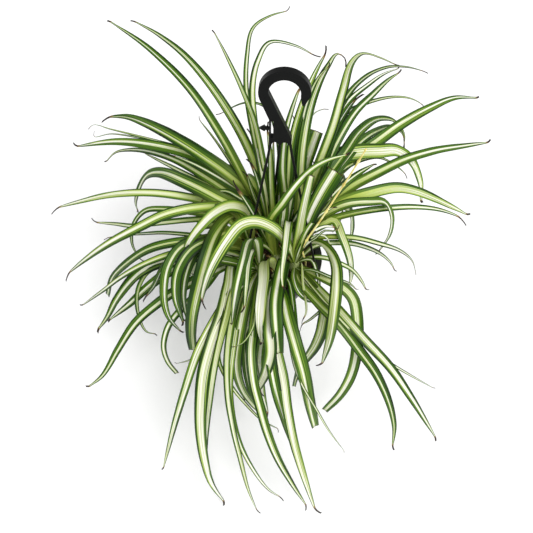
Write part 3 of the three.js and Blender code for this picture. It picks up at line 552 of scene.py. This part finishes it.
# Leaves that hang from the front right.
leaf("front_right", 17, [(285, 241), (270, 227), (254, 222), (240, 226), (227, 242), (214, 264),
     (205, 286), (201, 305)], 124, 14, stripe=0.5, age=0.1)
leaf("front_right", 17, [(303, 246), (315, 243), (327, 250), (335, 265), (336, 285), (334, 310),
     (330, 338), (321, 367)], 62, -78, stripe=0.46, age=0.65)
leaf("front_right", 8, [(315, 246), (345, 243), (365, 247), (382, 255), (392, 265), (395, 275)], 22, -60)
leaf("front_right", 7, [(308, 258), (325, 258), (341, 264), (352, 270), (362, 282), (367, 293)], 20, -60)
leaf("front_right", 14, [(302, 272), (320, 291), (340, 312), (363, 338), (390, 367), (410, 396),
     (428, 425), (437, 440)], -6, -130)
leaf("front_right", 14, [(300, 282), (320, 305), (340, 325), (360, 351), (375, 372), (387, 397),
     (394, 425), (392, 450)], -15, -170)
leaf("front_right", 5, [(318, 294), (350, 330), (375, 352), (390, 363), (410, 375), (435, 389)], 0, -115)
leaf("front_right", 16, [(305, 270), (325, 279), (343, 288), (353, 299), (357, 318), (357, 345),
     (352, 372), (341, 393), (325, 410)], -20, -175, CUT, stripe=0.35, age=0.7)
leaf("front_right", 17, [(312, 288), (324, 304), (323, 325), (317, 343), (306, 360)],
     -10, -120, CUT, stripe=0.4, age=0.8)
leaf("front_right", 6, [(303, 260), (312, 260), (317, 272), (320, 296)], 18, -40)
leaf("front_right", 9, [(294, 280), (298, 291), (306, 299), (316, 302)], 12, -25)

# Short upright leaves in the crown. Many are yellower at the base, with real blanching and painted light
# shining through them.
leaf("centre", 13, [(270, 222), (283, 203), (298, 183), (312, 169), (328, 160), (350, 154)],
     140, 165, stripe=0.35, age=0, blanch=2)
leaf("front_right", 13, [(291, 245), (289, 222), (285, 250), (282, 275), (283, 290)],
     86, 62, stripe=0.55, age=0.6)
leaf("front_right", 13, [(297, 245), (301, 220), (305, 200), (311, 175)],
     95, 165, CUT, stripe=0.5, age=0.3, blanch=1.2)
leaf("centre", 13, [(280, 240), (284, 215), (286, 192)], 70, 125, CUT)
leaf("centre", 10, [(268, 247), (254, 241), (242, 243)], 36, 30)
leaf("back", 10, [(277, 225), (280, 200), (283, 172), (285, 146)], 95, 160, blanch=1.6)
leaf("back", 11, [(269, 222), (264, 203), (258, 180), (250, 158)], 88, 140, blanch=1.6)
leaf("back", 10, [(272, 222), (267, 200), (262, 175), (256, 150), (249, 128)], 108, 165, blanch=1.6)
leaf("back", 10, [(279, 232), (285, 205), (291, 180), (295, 158)], 85, 140, blanch=1.6)
leaf("right", 10, [(296, 215), (299, 195), (303, 172), (309, 150)], 85, 130)
leaf("back", 9, [(277, 228), (279, 205), (280, 185), (283, 165)], 80, 125, blanch=1.6)
leaf("centre", 10, [(267, 240), (256, 218), (243, 197), (231, 182)], 72, 112)
leaf("back", 10, [(273, 215), (271, 180), (270, 150), (266, 122)], 120, 185, blanch=1.6)

# Leaves that hang over the far side of the pot, which the photograph can't show.
free_leaf("back", 14, 48, 95, 62, -70)
free_leaf("back", 15, 70, 125, 75, -95)
free_leaf("back", 12, 119, 100, 50, -120)
free_leaf("back", 15, 136, 115, 70, -60)
free_leaf("right", 13, 24, 85, 48, -55)
free_leaf("right", 14, 52, 110, 66, -85)
free_leaf("left", 13, 140, 105, 60, -80)
free_leaf("left", 12, 172, 90, 36, -110)

# Thin young leaves, curled tips and side shoots between the others.
leaf("left", 4, [(235, 200), (205, 155), (180, 147), (150, 139), (130, 134), (110, 129), (93, 125),
     (88, 129)], 80, 40)
leaf("left", 4, [(235, 205), (200, 158), (165, 143), (135, 137), (110, 134), (95, 137), (92, 134)], 70, 30)
leaf("left", 8, [(240, 200), (200, 181), (180, 171), (160, 161), (142, 152)], 60, 40)
leaf("left", 10, [(240, 238), (212, 245), (192, 253), (182, 262), (177, 275), (176, 295), (180, 312),
     (186, 325)], 45, -50)
leaf("front_left", 10, [(262, 262), (252, 330), (253, 350), (257, 372), (262, 392)], 20, -110)
leaf("front_left", 9, [(240, 270), (228, 300), (216, 325), (205, 334), (195, 342)], 10, -70)
leaf("front", 8, [(288, 280), (296, 335), (299, 360), (294, 386)], 20, -110, CUT)
leaf("front", 14, [(270, 290), (263, 330), (259, 360), (262, 392), (269, 418)], -30, -170, age=0.95)
leaf("front", 13, [(256, 290), (247, 330), (246, 365), (252, 395), (262, 420)], -40, -190, age=0.9)
leaf("front_left", 12, [(245, 285), (236, 320), (233, 350), (237, 380), (246, 402)], -30, -170, age=0.95)
leaf("front_left", 10, [(240, 275), (226, 300), (214, 325), (206, 350), (203, 372)], -20, -150, age=0.9)
leaf("front_left", 4, [(240, 290), (222, 330), (205, 350), (192, 359), (175, 364)], 5, -100)
leaf("front", 4, [(276, 262), (268, 256), (257, 258)], 20, 30)
leaf("right", 5, [(300, 200), (303, 140), (307, 124), (316, 112), (328, 108)], 110, 150)
leaf("front_right", 9, [(302, 241), (309, 227), (320, 215), (336, 206)], 78, 92, age=0.2, blanch=1.6)
leaf("front_right", 7, [(302, 246), (308, 236), (319, 228), (329, 226), (335, 228), (332, 234)],
     68, 58, stripe=0.6)
leaf("front_right", 6, [(303, 248), (310, 241), (318, 235), (326, 237), (329, 243), (325, 247)],
     58, 44, stripe=0.6)
leaf("front_right", 4, [(304, 246), (316, 238), (324, 231), (334, 231), (341, 227)], 60, 54)
leaf("front_right", 4, [(300, 262), (303, 285), (306, 303), (306, 313), (300, 323)],
     10, -40, stripe=0.8, age=0)
leaf("front_right", 5, [(300, 270), (312, 270), (330, 277), (350, 284), (358, 292)], 15, -35)
leaf("front_right", 5, [(318, 290), (323, 305), (312, 318), (298, 326)], 0, -70)
leaf("centre", 9, [(284, 235), (291, 202), (296, 172), (300, 148)], 92, 150)
leaf("centre", 9, [(286, 240), (296, 218), (309, 198), (319, 184)], 78, 118)

# Young leaves stand in the heart of each rosette: how many, and about how tall they are in mm.
HEARTS = {
    "back": (13, 125),
    "right": (10, 105),
    "left": (7, 60),
    "front_left": (5, 42),
    "front": (5, 30),
    "front_right": (8, 52),
    "centre": (15, 80),
}
# Each is this share of that height, reaches out by this share of its own, and has risen by this share of it
# half way along. Its width is in mm and its azimuth in degrees.
YOUNG_HEIGHT = (0.55, 1.1)
YOUNG_REACH = (0.15, 0.6)
YOUNG_WIDTH = (4, 9)
YOUNG_AZIMUTH = (-20, 200)
YOUNG_MIDDLE = 0.62
YOUNG_AGE = (0, 0.5)
# How yellow a young leaf's base is: real blanching, and painted light shining through the crown.
YOUNG_BLANCH_AND_PAINTED_LIGHT = 1.4
YOUNG_SEED = 21
chance = random.Random(YOUNG_SEED)
for name, (count, height) in HEARTS.items():
    for _ in range(count):
        tall = height * chance.uniform(*YOUNG_HEIGHT)
        reach = tall * chance.uniform(*YOUNG_REACH)
        width = chance.uniform(*YOUNG_WIDTH)
        azimuth = chance.uniform(*YOUNG_AZIMUTH)
        age = chance.uniform(*YOUNG_AGE)
        middle = YOUNG_MIDDLE * tall
        free_leaf(name, width, azimuth, reach, middle, tall, age=age, blanch=YOUNG_BLANCH_AND_PAINTED_LIGHT)

# Each leaf's blade has a station every 5 mm, but no fewer than ten, and this many quads across.
STATION = 0.005
FEWEST_STATIONS = 10
ACROSS = 8
CURVE_POINTS = 17
SHORTEST_STEP = 1e-4
BLADE_THICKNESS = 0.0005
# A blade is folded along its midrib, sharply at its base and less beyond the first few centimetres, and its
# edges flatten out again.
FOLD_AT_BASE = math.radians(52)
FOLD = math.radians(20)
FOLD_LENGTH = 0.03
FLATTENING = 0.3
# Its upper side faces up and towards the viewer. At its base it is square to the line to a point this share
# along it, and over each stretch of this length it eases from a twist back to that facing.
FACING = Vector((0, 0, 1)) - 1.2 * forward
SQUARE_TO = 0.6
EASE_LENGTH = 0.05
# A blade's width, as shares of its full width: a leaf widens from its base, and a stump from a narrower
# one; a snipped leaf narrows a little to its end, and a whole one to its tip.
BASE_WIDTH = 0.55
BASE_WIDENING = 1.8
STUMP_WIDTH = 0.22
STUMP_WIDENING = 0.9
CUT_TAPER = 0.4
TIP_WIDTH = 0.17
TIP_TAPER = 3.3
TIP_ROUNDING = 0.85
# No two blades are alike. Each is rolled over, within the first quarter of its length, and turned on its
# way, both in degrees. Its edges ripple, by a share of half its width, and are out of step.
ROLL = 18
ROLL_PACE = 4
TURN = 16
RIPPLE_HEIGHT = (0.02, 0.07)
RIPPLE_LENGTH = (0.035, 0.06)
OUT_OF_STEP = 1.3
# The cream stripe is this share of the width at least, at most and most often, and its middle leans off the
# midrib by up to a share of half the width. Age turns the green from light to dark. A tip dries over one of
# these lengths, and curls sideways by a share of that; a snipped edge dries less than a millimetre deep.
STRIPE = (0.14, 0.52, 0.3)
LEAN = 0.28
AGE = (0.35, 1)
DRIED_TIP = (0.006, 0.009, 0.013, 0.018)
DRIED_CUT = 0.0008
CURL = (0.1, 0.45)
# How yellow the leaves' lower parts are: their real blanching, and painted light shining through the leaves
# in the crown. Those that stand upright grew wrapped in others.
BLANCH_AND_PAINTED_LIGHT = {
    "back": 1, "right": 1, "left": 0.9, "centre": 1, "front_left": 0.15, "front": 0.0, "front_right": 0.3,
}
# What a blade tells its material, each an attribute of its mesh.
LOOKS = ("stripe", "age", "dry", "blanch")


def smooth_line(points):
    """A smooth line through points, each stretch a Bezier curve with centripetal Catmull-Rom handles."""
    knots = [2 * points[0] - points[1], *points, 2 * points[-1] - points[-2]]
    line = []
    for a, b, c, d in zip(knots, knots[1:], knots[2:], knots[3:]):
        ab, bc, cd = (max((q - p).length ** 0.5, SHORTEST_STEP) for p, q in ((a, b), (b, c), (c, d)))
        leave = ((b - a) / ab - (c - a) / (ab + bc) + (c - b) / bc) * bc
        arrive = ((c - b) / bc - (d - b) / (bc + cd) + (d - c) / cd) * bc
        line += interpolate_bezier(b, b + leave / 3, c - arrive / 3, c, CURVE_POINTS)[:-1]
    return np.array([*line, points[-1]])


def evenly_spaced(line, count):
    """Points that cut a line into a count of equal lengths, and the line's whole length."""
    run = np.concatenate([[0], np.cumsum(np.linalg.norm(np.diff(line, axis=0), axis=1))])
    steps = np.linspace(0, run[-1], count + 1)
    return np.stack([np.interp(steps, run, line[:, axis]) for axis in range(3)], axis=1), run[-1]


def width_at(t, end):
    """How wide the blade is at a share t of its length, as a share of its full width."""
    if end == STUMP:
        return min(1, STUMP_WIDTH + STUMP_WIDENING * t)
    base = min(1, BASE_WIDTH + BASE_WIDENING * t)
    if end == CUT:
        return base * (1 - CUT_TAPER * t**4)
    return base * max(TIP_WIDTH, (1 - t**TIP_TAPER) ** TIP_ROUNDING)


def stations_of(points, width, end, roll, turn):
    """A blade's stations, each its middle, its directions across and up, its half width and its fold."""
    line = smooth_line(points)
    run = np.linalg.norm(np.diff(line, axis=0), axis=1).sum()
    count = max(FEWEST_STATIONS, round(run / STATION))
    centre, length = evenly_spaced(line, count)
    tangent = np.gradient(centre, axis=0)
    side = FACING.cross(Vector(line[int(SQUARE_TO * (len(line) - 1))] - line[0])).normalized()
    stations = []
    for station in range(count + 1):
        t = station / count
        along = Vector(tangent[station]).normalized()
        side = (side - along * side.dot(along)).normalized()
        facing = FACING.cross(along)
        side = (side + facing * math.copysign(length / count / EASE_LENGTH, facing.dot(side))).normalized()
        across = Matrix.Rotation(roll * min(1, ROLL_PACE * t) + turn * t, 3, along) @ side
        fold = FOLD + (FOLD_AT_BASE - FOLD) * math.exp(-t * length / FOLD_LENGTH)
        half = width / 2 * width_at(t, end)
        stations.append((Vector(centre[station]), across, along.cross(across), half, fold))
    return stations, length


def blade(mesh, layers, width, points, end, given, chance, number):
    """Adds one leaf to a rosette: a flat grid whose stations are carried onto the midrib and folded."""
    roll = math.radians(chance.uniform(-ROLL, ROLL))
    turn = math.radians(chance.uniform(-TURN, TURN))
    phase = chance.uniform(0, math.tau)
    ripple = chance.uniform(*RIPPLE_HEIGHT)
    wave = chance.uniform(*RIPPLE_LENGTH)
    stations, length = stations_of(points, width, end, roll, turn)
    count = len(stations) - 1
    looks = {
        "stripe": chance.triangular(*STRIPE),
        "age": chance.uniform(*AGE),
        "dry": chance.choice(DRIED_TIP) if end == POINT else DRIED_CUT,
    }
    looks.update(given)
    lean = chance.uniform(-LEAN, LEAN)
    curl = chance.choice((-1, 1)) * chance.uniform(*CURL) * looks["dry"] if end == POINT else 0
    grid = bmesh.ops.create_grid(mesh, x_segments=count, y_segments=ACROSS, size=1)["verts"]
    share, metres = {}, {}
    for vert in grid:
        t, v = (vert.co.x + 1) / 2, vert.co.y
        spot, across, up, half, fold = stations[round(t * count)]
        flat = abs(v) * half
        step = OUT_OF_STEP if v > 0 else 0
        edge = ripple * half * v * v * math.sin(math.tau * t * length / wave + phase + step)
        rise = flat * math.sin(fold) * (1 - FLATTENING * v * v) + edge
        curled = curl * max(0, 1 - (1 - t) * length / looks["dry"]) ** 2
        vert.co = spot + across * (math.copysign(flat * math.cos(fold), v) + curled) + up * rise
        share[vert] = (t, (v + lean * (1 - abs(v)) + 1) / 2)
        # Metres run from the tip, one whole metre further on for each leaf, so no two are patterned alike.
        metres[vert] = ((1 - t) * length + number, v * half)
        for name, value in looks.items():
            vert[layers[name]] = value
    for face in {face for vert in grid for face in vert.link_faces}:
        face.smooth = True
        for loop in face.loops:
            loop[layers["share"]].uv = share[loop.vert]
            loop[layers["metres"]].uv = metres[loop.vert]


# A living leaf: cream where it has no green cells, and green at its margins, under a waxy skin that
# gives a soft shine and lets some light through. Its veins run the whole length, about 0.7 mm apart, and
# so do paler and darker bands of about 2 mm.
VEINS_PER_M = (12, 1400, 1)
BANDS_PER_M = (5, 560, 1)
# The bands shift the stripe's edge over this share of half the width, and the margin's shade over this share
# of its ramp. The stripe's edge is a little soft.
STRIPE_WANDER = 0.7
BAND_CONTRAST = 1.0
STRIPE_SOFTNESS = 0.03
# The cream turns yellow between these shares of the length, and nearer the base so does the whole blade, by
# less: real blanching, and painted light shining through the leaves in the crown. The tip turns brown between
# these shares of its dried length, with an edge that is ragged over 4 mm.
CREAM_YELLOWS = (0.65, 0.2)
YELLOWED_CREAM_AND_PAINTED_LIGHT = "#b7c75c"
BLADE_YELLOWS = (0.42, 0.05)
BLADE_BLANCH_AND_PAINTED_LIGHT = 0.6
YELLOWED_BLADE_AND_PAINTED_LIGHT = "#a3b548"
TIP_BROWNS = (1.2, 0.9)
TIP_RAGGED = 0.004
leaf_skin, shader = finish_of(
    "variegated_leaf", Roughness=0.42, IOR=1.45, Specular_IOR_Level=0.24,
    Subsurface_Weight=0.12, Subsurface_Scale=0.003, Subsurface_Radius=(0.6, 1.0, 0.3),
)
share_uv = node(leaf_skin, "ShaderNodeUVMap", uv_map="share").outputs[0]
share = node(leaf_skin, "ShaderNodeSeparateXYZ", {0: share_uv})
along = share.outputs["X"]
metres_uv = node(leaf_skin, "ShaderNodeUVMap", uv_map="metres").outputs[0]
metres = node(leaf_skin, "ShaderNodeSeparateXYZ", {0: metres_uv})
stripe, age, dry, blanch = (
    node(leaf_skin, "ShaderNodeAttribute", attribute_name=look).outputs["Fac"] for look in LOOKS
)

veins_at = node(leaf_skin, "ShaderNodeMapping", {"Vector": metres_uv, "Scale": VEINS_PER_M})
veins = node(
    leaf_skin, "ShaderNodeTexNoise", {"Vector": veins_at.outputs[0], "Scale": 1, "Detail": 2}
).outputs["Fac"]
bands_at = node(leaf_skin, "ShaderNodeMapping", {"Vector": metres_uv, "Scale": BANDS_PER_M})
bands = node(
    leaf_skin, "ShaderNodeTexNoise", {"Vector": bands_at.outputs[0], "Scale": 1, "Detail": 1}
).outputs["Fac"]

# Beyond the stripe, whose edge wanders with the bands, the margin darkens towards the leaf's edge.
centred = node(
    leaf_skin, "ShaderNodeMath", {0: share.outputs["Y"], 1: 2.0, 2: -1.0}, operation="MULTIPLY_ADD"
)
off_centre = node(leaf_skin, "ShaderNodeMath", {0: centred.outputs[0]}, operation="ABSOLUTE").outputs[0]
wander = node(
    leaf_skin, "ShaderNodeMath", {0: bands, 1: STRIPE_WANDER, 2: -STRIPE_WANDER / 2}, operation="MULTIPLY_ADD"
).outputs[0]
wandering = node(leaf_skin, "ShaderNodeMath", {0: off_centre, 1: wander}, operation="ADD").outputs[0]
past_stripe = node(leaf_skin, "ShaderNodeMath", {0: wandering, 1: stripe}, operation="SUBTRACT").outputs[0]
in_margin = node(
    leaf_skin, "ShaderNodeMapRange",
    {"Value": past_stripe, "From Min": -STRIPE_SOFTNESS, "From Max": STRIPE_SOFTNESS},
).outputs["Result"]
margin_width = node(leaf_skin, "ShaderNodeMath", {0: 1.0, 1: stripe}, operation="SUBTRACT").outputs[0]
to_edge = node(leaf_skin, "ShaderNodeMath", {0: past_stripe, 1: margin_width}, operation="DIVIDE").outputs[0]
banded = node(
    leaf_skin, "ShaderNodeMath", {0: bands, 1: BAND_CONTRAST, 2: -BAND_CONTRAST / 2}, operation="MULTIPLY_ADD"
).outputs[0]
margin_at = node(leaf_skin, "ShaderNodeMath", {0: to_edge, 1: banded}, operation="ADD").outputs[0]
young = node(
    leaf_skin, "ShaderNodeValToRGB", {"Fac": margin_at},
    stops=[(0.0, "#b5c362"), (0.14, "#819d34"), (0.45, "#557a1b"), (0.8, "#38570f"), (0.93, "#1f3308")],
)
old = node(
    leaf_skin, "ShaderNodeValToRGB", {"Fac": margin_at},
    stops=[(0.0, "#869f3a"), (0.1, "#4a6c19"), (0.45, "#2e4f0e"), (0.8, "#1b3a05"), (0.93, "#0e2303")],
)
# A Mix node's sockets for colours go by number: 6 and 7 are mixed by 0, and 2 is the result.
margin = node(
    leaf_skin, "ShaderNodeMix", {0: age, 6: young.outputs[0], 7: old.outputs[0]}, data_type="RGBA"
).outputs[2]
cream = node(
    leaf_skin, "ShaderNodeValToRGB", {"Fac": bands},
    stops=[(0.32, "#93a557"), (0.42, "#c0c896"), (0.51, "#e1e4cd"), (0.64, "#f0f1e4")],
).outputs[0]
# Near the base the cream turns yellow: real blanching, and painted light shining through the crown's leaves.
near_base = node(
    leaf_skin, "ShaderNodeMapRange",
    {"Value": along, "From Min": CREAM_YELLOWS[0], "From Max": CREAM_YELLOWS[1], "To Max": blanch},
).outputs["Result"]
centre = node(
    leaf_skin, "ShaderNodeMix", {0: near_base, 6: cream, 7: linear(YELLOWED_CREAM_AND_PAINTED_LIGHT)}, data_type="RGBA"
).outputs[2]
striped = node(
    leaf_skin, "ShaderNodeMix", {0: in_margin, 6: centre, 7: margin}, data_type="RGBA"
).outputs[2]

# The base was wrapped in other leaves, which kept it pale, and painted light shining through the crown
# lightens it further; the tip has dried out.
blade_blanch = node(
    leaf_skin, "ShaderNodeMath", {0: blanch, 1: BLADE_BLANCH_AND_PAINTED_LIGHT}, operation="MULTIPLY"
).outputs[0]
at_base = node(
    leaf_skin, "ShaderNodeMapRange",
    {"Value": along, "From Min": BLADE_YELLOWS[0], "From Max": BLADE_YELLOWS[1], "To Max": blade_blanch},
).outputs["Result"]
blanched = node(
    leaf_skin, "ShaderNodeMix", {0: at_base, 6: striped, 7: linear(YELLOWED_BLADE_AND_PAINTED_LIGHT)}, data_type="RGBA"
).outputs[2]
tip_run = node(leaf_skin, "ShaderNodeMath", {0: metres.outputs["X"], 1: 1.0}, operation="MODULO").outputs[0]
ragged = node(
    leaf_skin, "ShaderNodeMath", {0: veins, 1: TIP_RAGGED, 2: -TIP_RAGGED / 2}, operation="MULTIPLY_ADD"
).outputs[0]
tip_at = node(leaf_skin, "ShaderNodeMath", {0: tip_run, 1: ragged}, operation="ADD").outputs[0]
dried_share = node(leaf_skin, "ShaderNodeMath", {0: tip_at, 1: dry}, operation="DIVIDE").outputs[0]
dried = node(
    leaf_skin, "ShaderNodeMapRange",
    {"Value": dried_share, "From Min": TIP_BROWNS[0], "From Max": TIP_BROWNS[1]},
).outputs["Result"]
tip_brown = node(
    leaf_skin, "ShaderNodeValToRGB", {"Fac": dried_share},
    stops=[(0.0, "#170c09"), (0.7, "#2e1a10"), (1.0, "#8a6a36")],
).outputs[0]
skin = node(leaf_skin, "ShaderNodeMix", {0: dried, 6: blanched, 7: tip_brown}, data_type="RGBA").outputs[2]
link(leaf_skin, skin, shader.inputs["Base Color"])
bump = node(leaf_skin, "ShaderNodeBump", {"Height": veins, "Strength": 0.35, "Distance": 0.00025})
link(leaf_skin, bump.outputs["Normal"], shader.inputs["Normal"])

# The stem under a rosette is wrapped in the pale, fibrous bases of its leaves.
STEM_RADIUS = 0.0078
STEM_TOP_RADIUS = 0.7 * STEM_RADIUS
STEM_BOTTOM = -0.016
STEM_TOP = 0.010
STEM_SIDES = 20
FIBRES_PER_M = (900, 900, 60)
BLADE_SEED = 100
sheath, shader = finish_of("blanched_leaf_bases", Roughness=0.55, IOR=1.45)
place = node(sheath, "ShaderNodeTexCoord").outputs["Object"]
lengthways = node(sheath, "ShaderNodeMapping", {"Vector": place, "Scale": FIBRES_PER_M})
fibres = node(sheath, "ShaderNodeTexNoise", {"Vector": lengthways.outputs[0], "Scale": 1, "Detail": 3})
tone = node(
    sheath, "ShaderNodeValToRGB", {"Fac": fibres.outputs["Fac"]},
    stops=[(0.35, "#5d6a34"), (0.5, "#98a666"), (0.7, "#c9d0a2")],
)
link(sheath, tone.outputs["Color"], shader.inputs["Base Color"])
bump = node(sheath, "ShaderNodeBump", {"Height": fibres.outputs["Fac"], "Strength": 0.5, "Distance": 0.0004})
link(sheath, bump.outputs["Normal"], shader.inputs["Normal"])

for seed, (name, specs) in enumerate(leaves.items()):
    chance = random.Random(BLADE_SEED + seed)
    mesh = bmesh.new()
    layers = {"share": mesh.loops.layers.uv.new("share"), "metres": mesh.loops.layers.uv.new("metres")}
    for look in LOOKS:
        layers[look] = mesh.verts.layers.float.new(look)
    for number, (width, points, end, given) in enumerate(specs):
        blade(mesh, layers, width, points, end, {"blanch": BLANCH_AND_PAINTED_LIGHT[name], **given}, chance, number + 1)
    before = set(mesh.faces)
    middle = RIM + Vector((*(mm * MM for mm in ROSETTES[name]), (STEM_BOTTOM + STEM_TOP) / 2))
    bmesh.ops.create_cone(
        mesh, cap_ends=True, segments=STEM_SIDES, radius1=STEM_RADIUS, radius2=STEM_TOP_RADIUS,
        depth=STEM_TOP - STEM_BOTTOM, matrix=Matrix.Translation(middle),
    )
    for face in set(mesh.faces) - before:
        face.material_index = 1
    piece = piece_of(mesh, f"leaves_{name}", leaf_skin, sheath)
    thick = piece.modifiers.new("blade thickness", "SOLIDIFY")
    thick.thickness = BLADE_THICKNESS
    thick.offset = 0
    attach(piece, "root")
    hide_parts(f"rosette_{name}")

# ------------------------------ dried flower stalk
# One spent flower stalk stands among the leaves on the right, dried to straw, with a joint every few
# centimetres where a bract and a flower cluster grew.
STALK_PX = [(303, 247), (320, 221), (337, 195), (352, 172), (366, 149)]
STALK_TOP = 245
STALK_ROOT = (39, -9)
STALK_RADIUS = 0.0012
STALK_BOTTOM = -0.0157
STALK_SIDES = 10
STALK_STATIONS = 90
# It is a little thicker than its radius at its foot, and thins by this share to its top. A joint comes every
# so many stations, fades out over one and a half of them, and is so much thicker.
STALK_FOOT = 1.1
STALK_TAPER = 0.45
JOINT_EVERY = 18
JOINT_REACH = 1.5
JOINT_SWELL = 0.6

root = RIM + Vector((*STALK_ROOT, 0)) * MM
stalk_points = [root + Vector((0, 0, STALK_BOTTOM)), root]
for number, pixel in enumerate(STALK_PX):
    stalk_points.append(at_height(pixel, STALK_TOP * (number + 1) / len(STALK_PX)))
stalk_line, _ = evenly_spaced(smooth_line(stalk_points), STALK_STATIONS)
stalk = bmesh.new()
rings = []
tangents = np.gradient(stalk_line, axis=0)
for station, (spot, along) in enumerate(zip(stalk_line, tangents)):
    joint = max(0, 1 - abs((station % JOINT_EVERY) - JOINT_EVERY / 2) / JOINT_REACH)
    taper = STALK_FOOT - STALK_TAPER * station / STALK_STATIONS
    radius = STALK_RADIUS * (taper + JOINT_SWELL * joint)
    turn = Vector(along).to_track_quat("Z", "X").to_matrix().to_4x4()
    circle = bmesh.ops.create_circle(
        stalk, segments=STALK_SIDES, radius=radius, cap_ends=station in (0, STALK_STATIONS),
        matrix=Matrix.Translation(spot) @ turn,
    )["verts"]
    rings.append([edge for edge in stalk.edges if edge.verts[0] in circle and edge.verts[1] in circle])
for low, high in zip(rings, rings[1:]):
    bmesh.ops.bridge_loops(stalk, edges=low + high)
bmesh.ops.recalc_face_normals(stalk, faces=stalk.faces)
for face in stalk.faces:
    face.smooth = True

# A dried stem is straw yellow and matt, and blotched from ochre to pale every 8 mm or so.
straw, shader = finish_of("dried_straw", Roughness=0.7, IOR=1.45)
place = node(straw, "ShaderNodeTexCoord").outputs["Object"]
fibres = node(straw, "ShaderNodeTexNoise", {"Vector": place, "Scale": 120, "Detail": 4})
tone = node(
    straw, "ShaderNodeValToRGB", {"Fac": fibres.outputs["Fac"]},
    stops=[(0.3, "#dcc566"), (0.5, "#f7e78a"), (0.7, "#fdf6b8")],
)
link(straw, tone.outputs["Color"], shader.inputs["Base Color"])
bump = node(straw, "ShaderNodeBump", {"Height": fibres.outputs["Fac"], "Strength": 0.4, "Distance": 0.0003})
link(straw, bump.outputs["Normal"], shader.inputs["Normal"])
piece = piece_of(stalk, "spent_flower_stalk", straw)
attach(piece, "root")
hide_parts("flower_stalk")
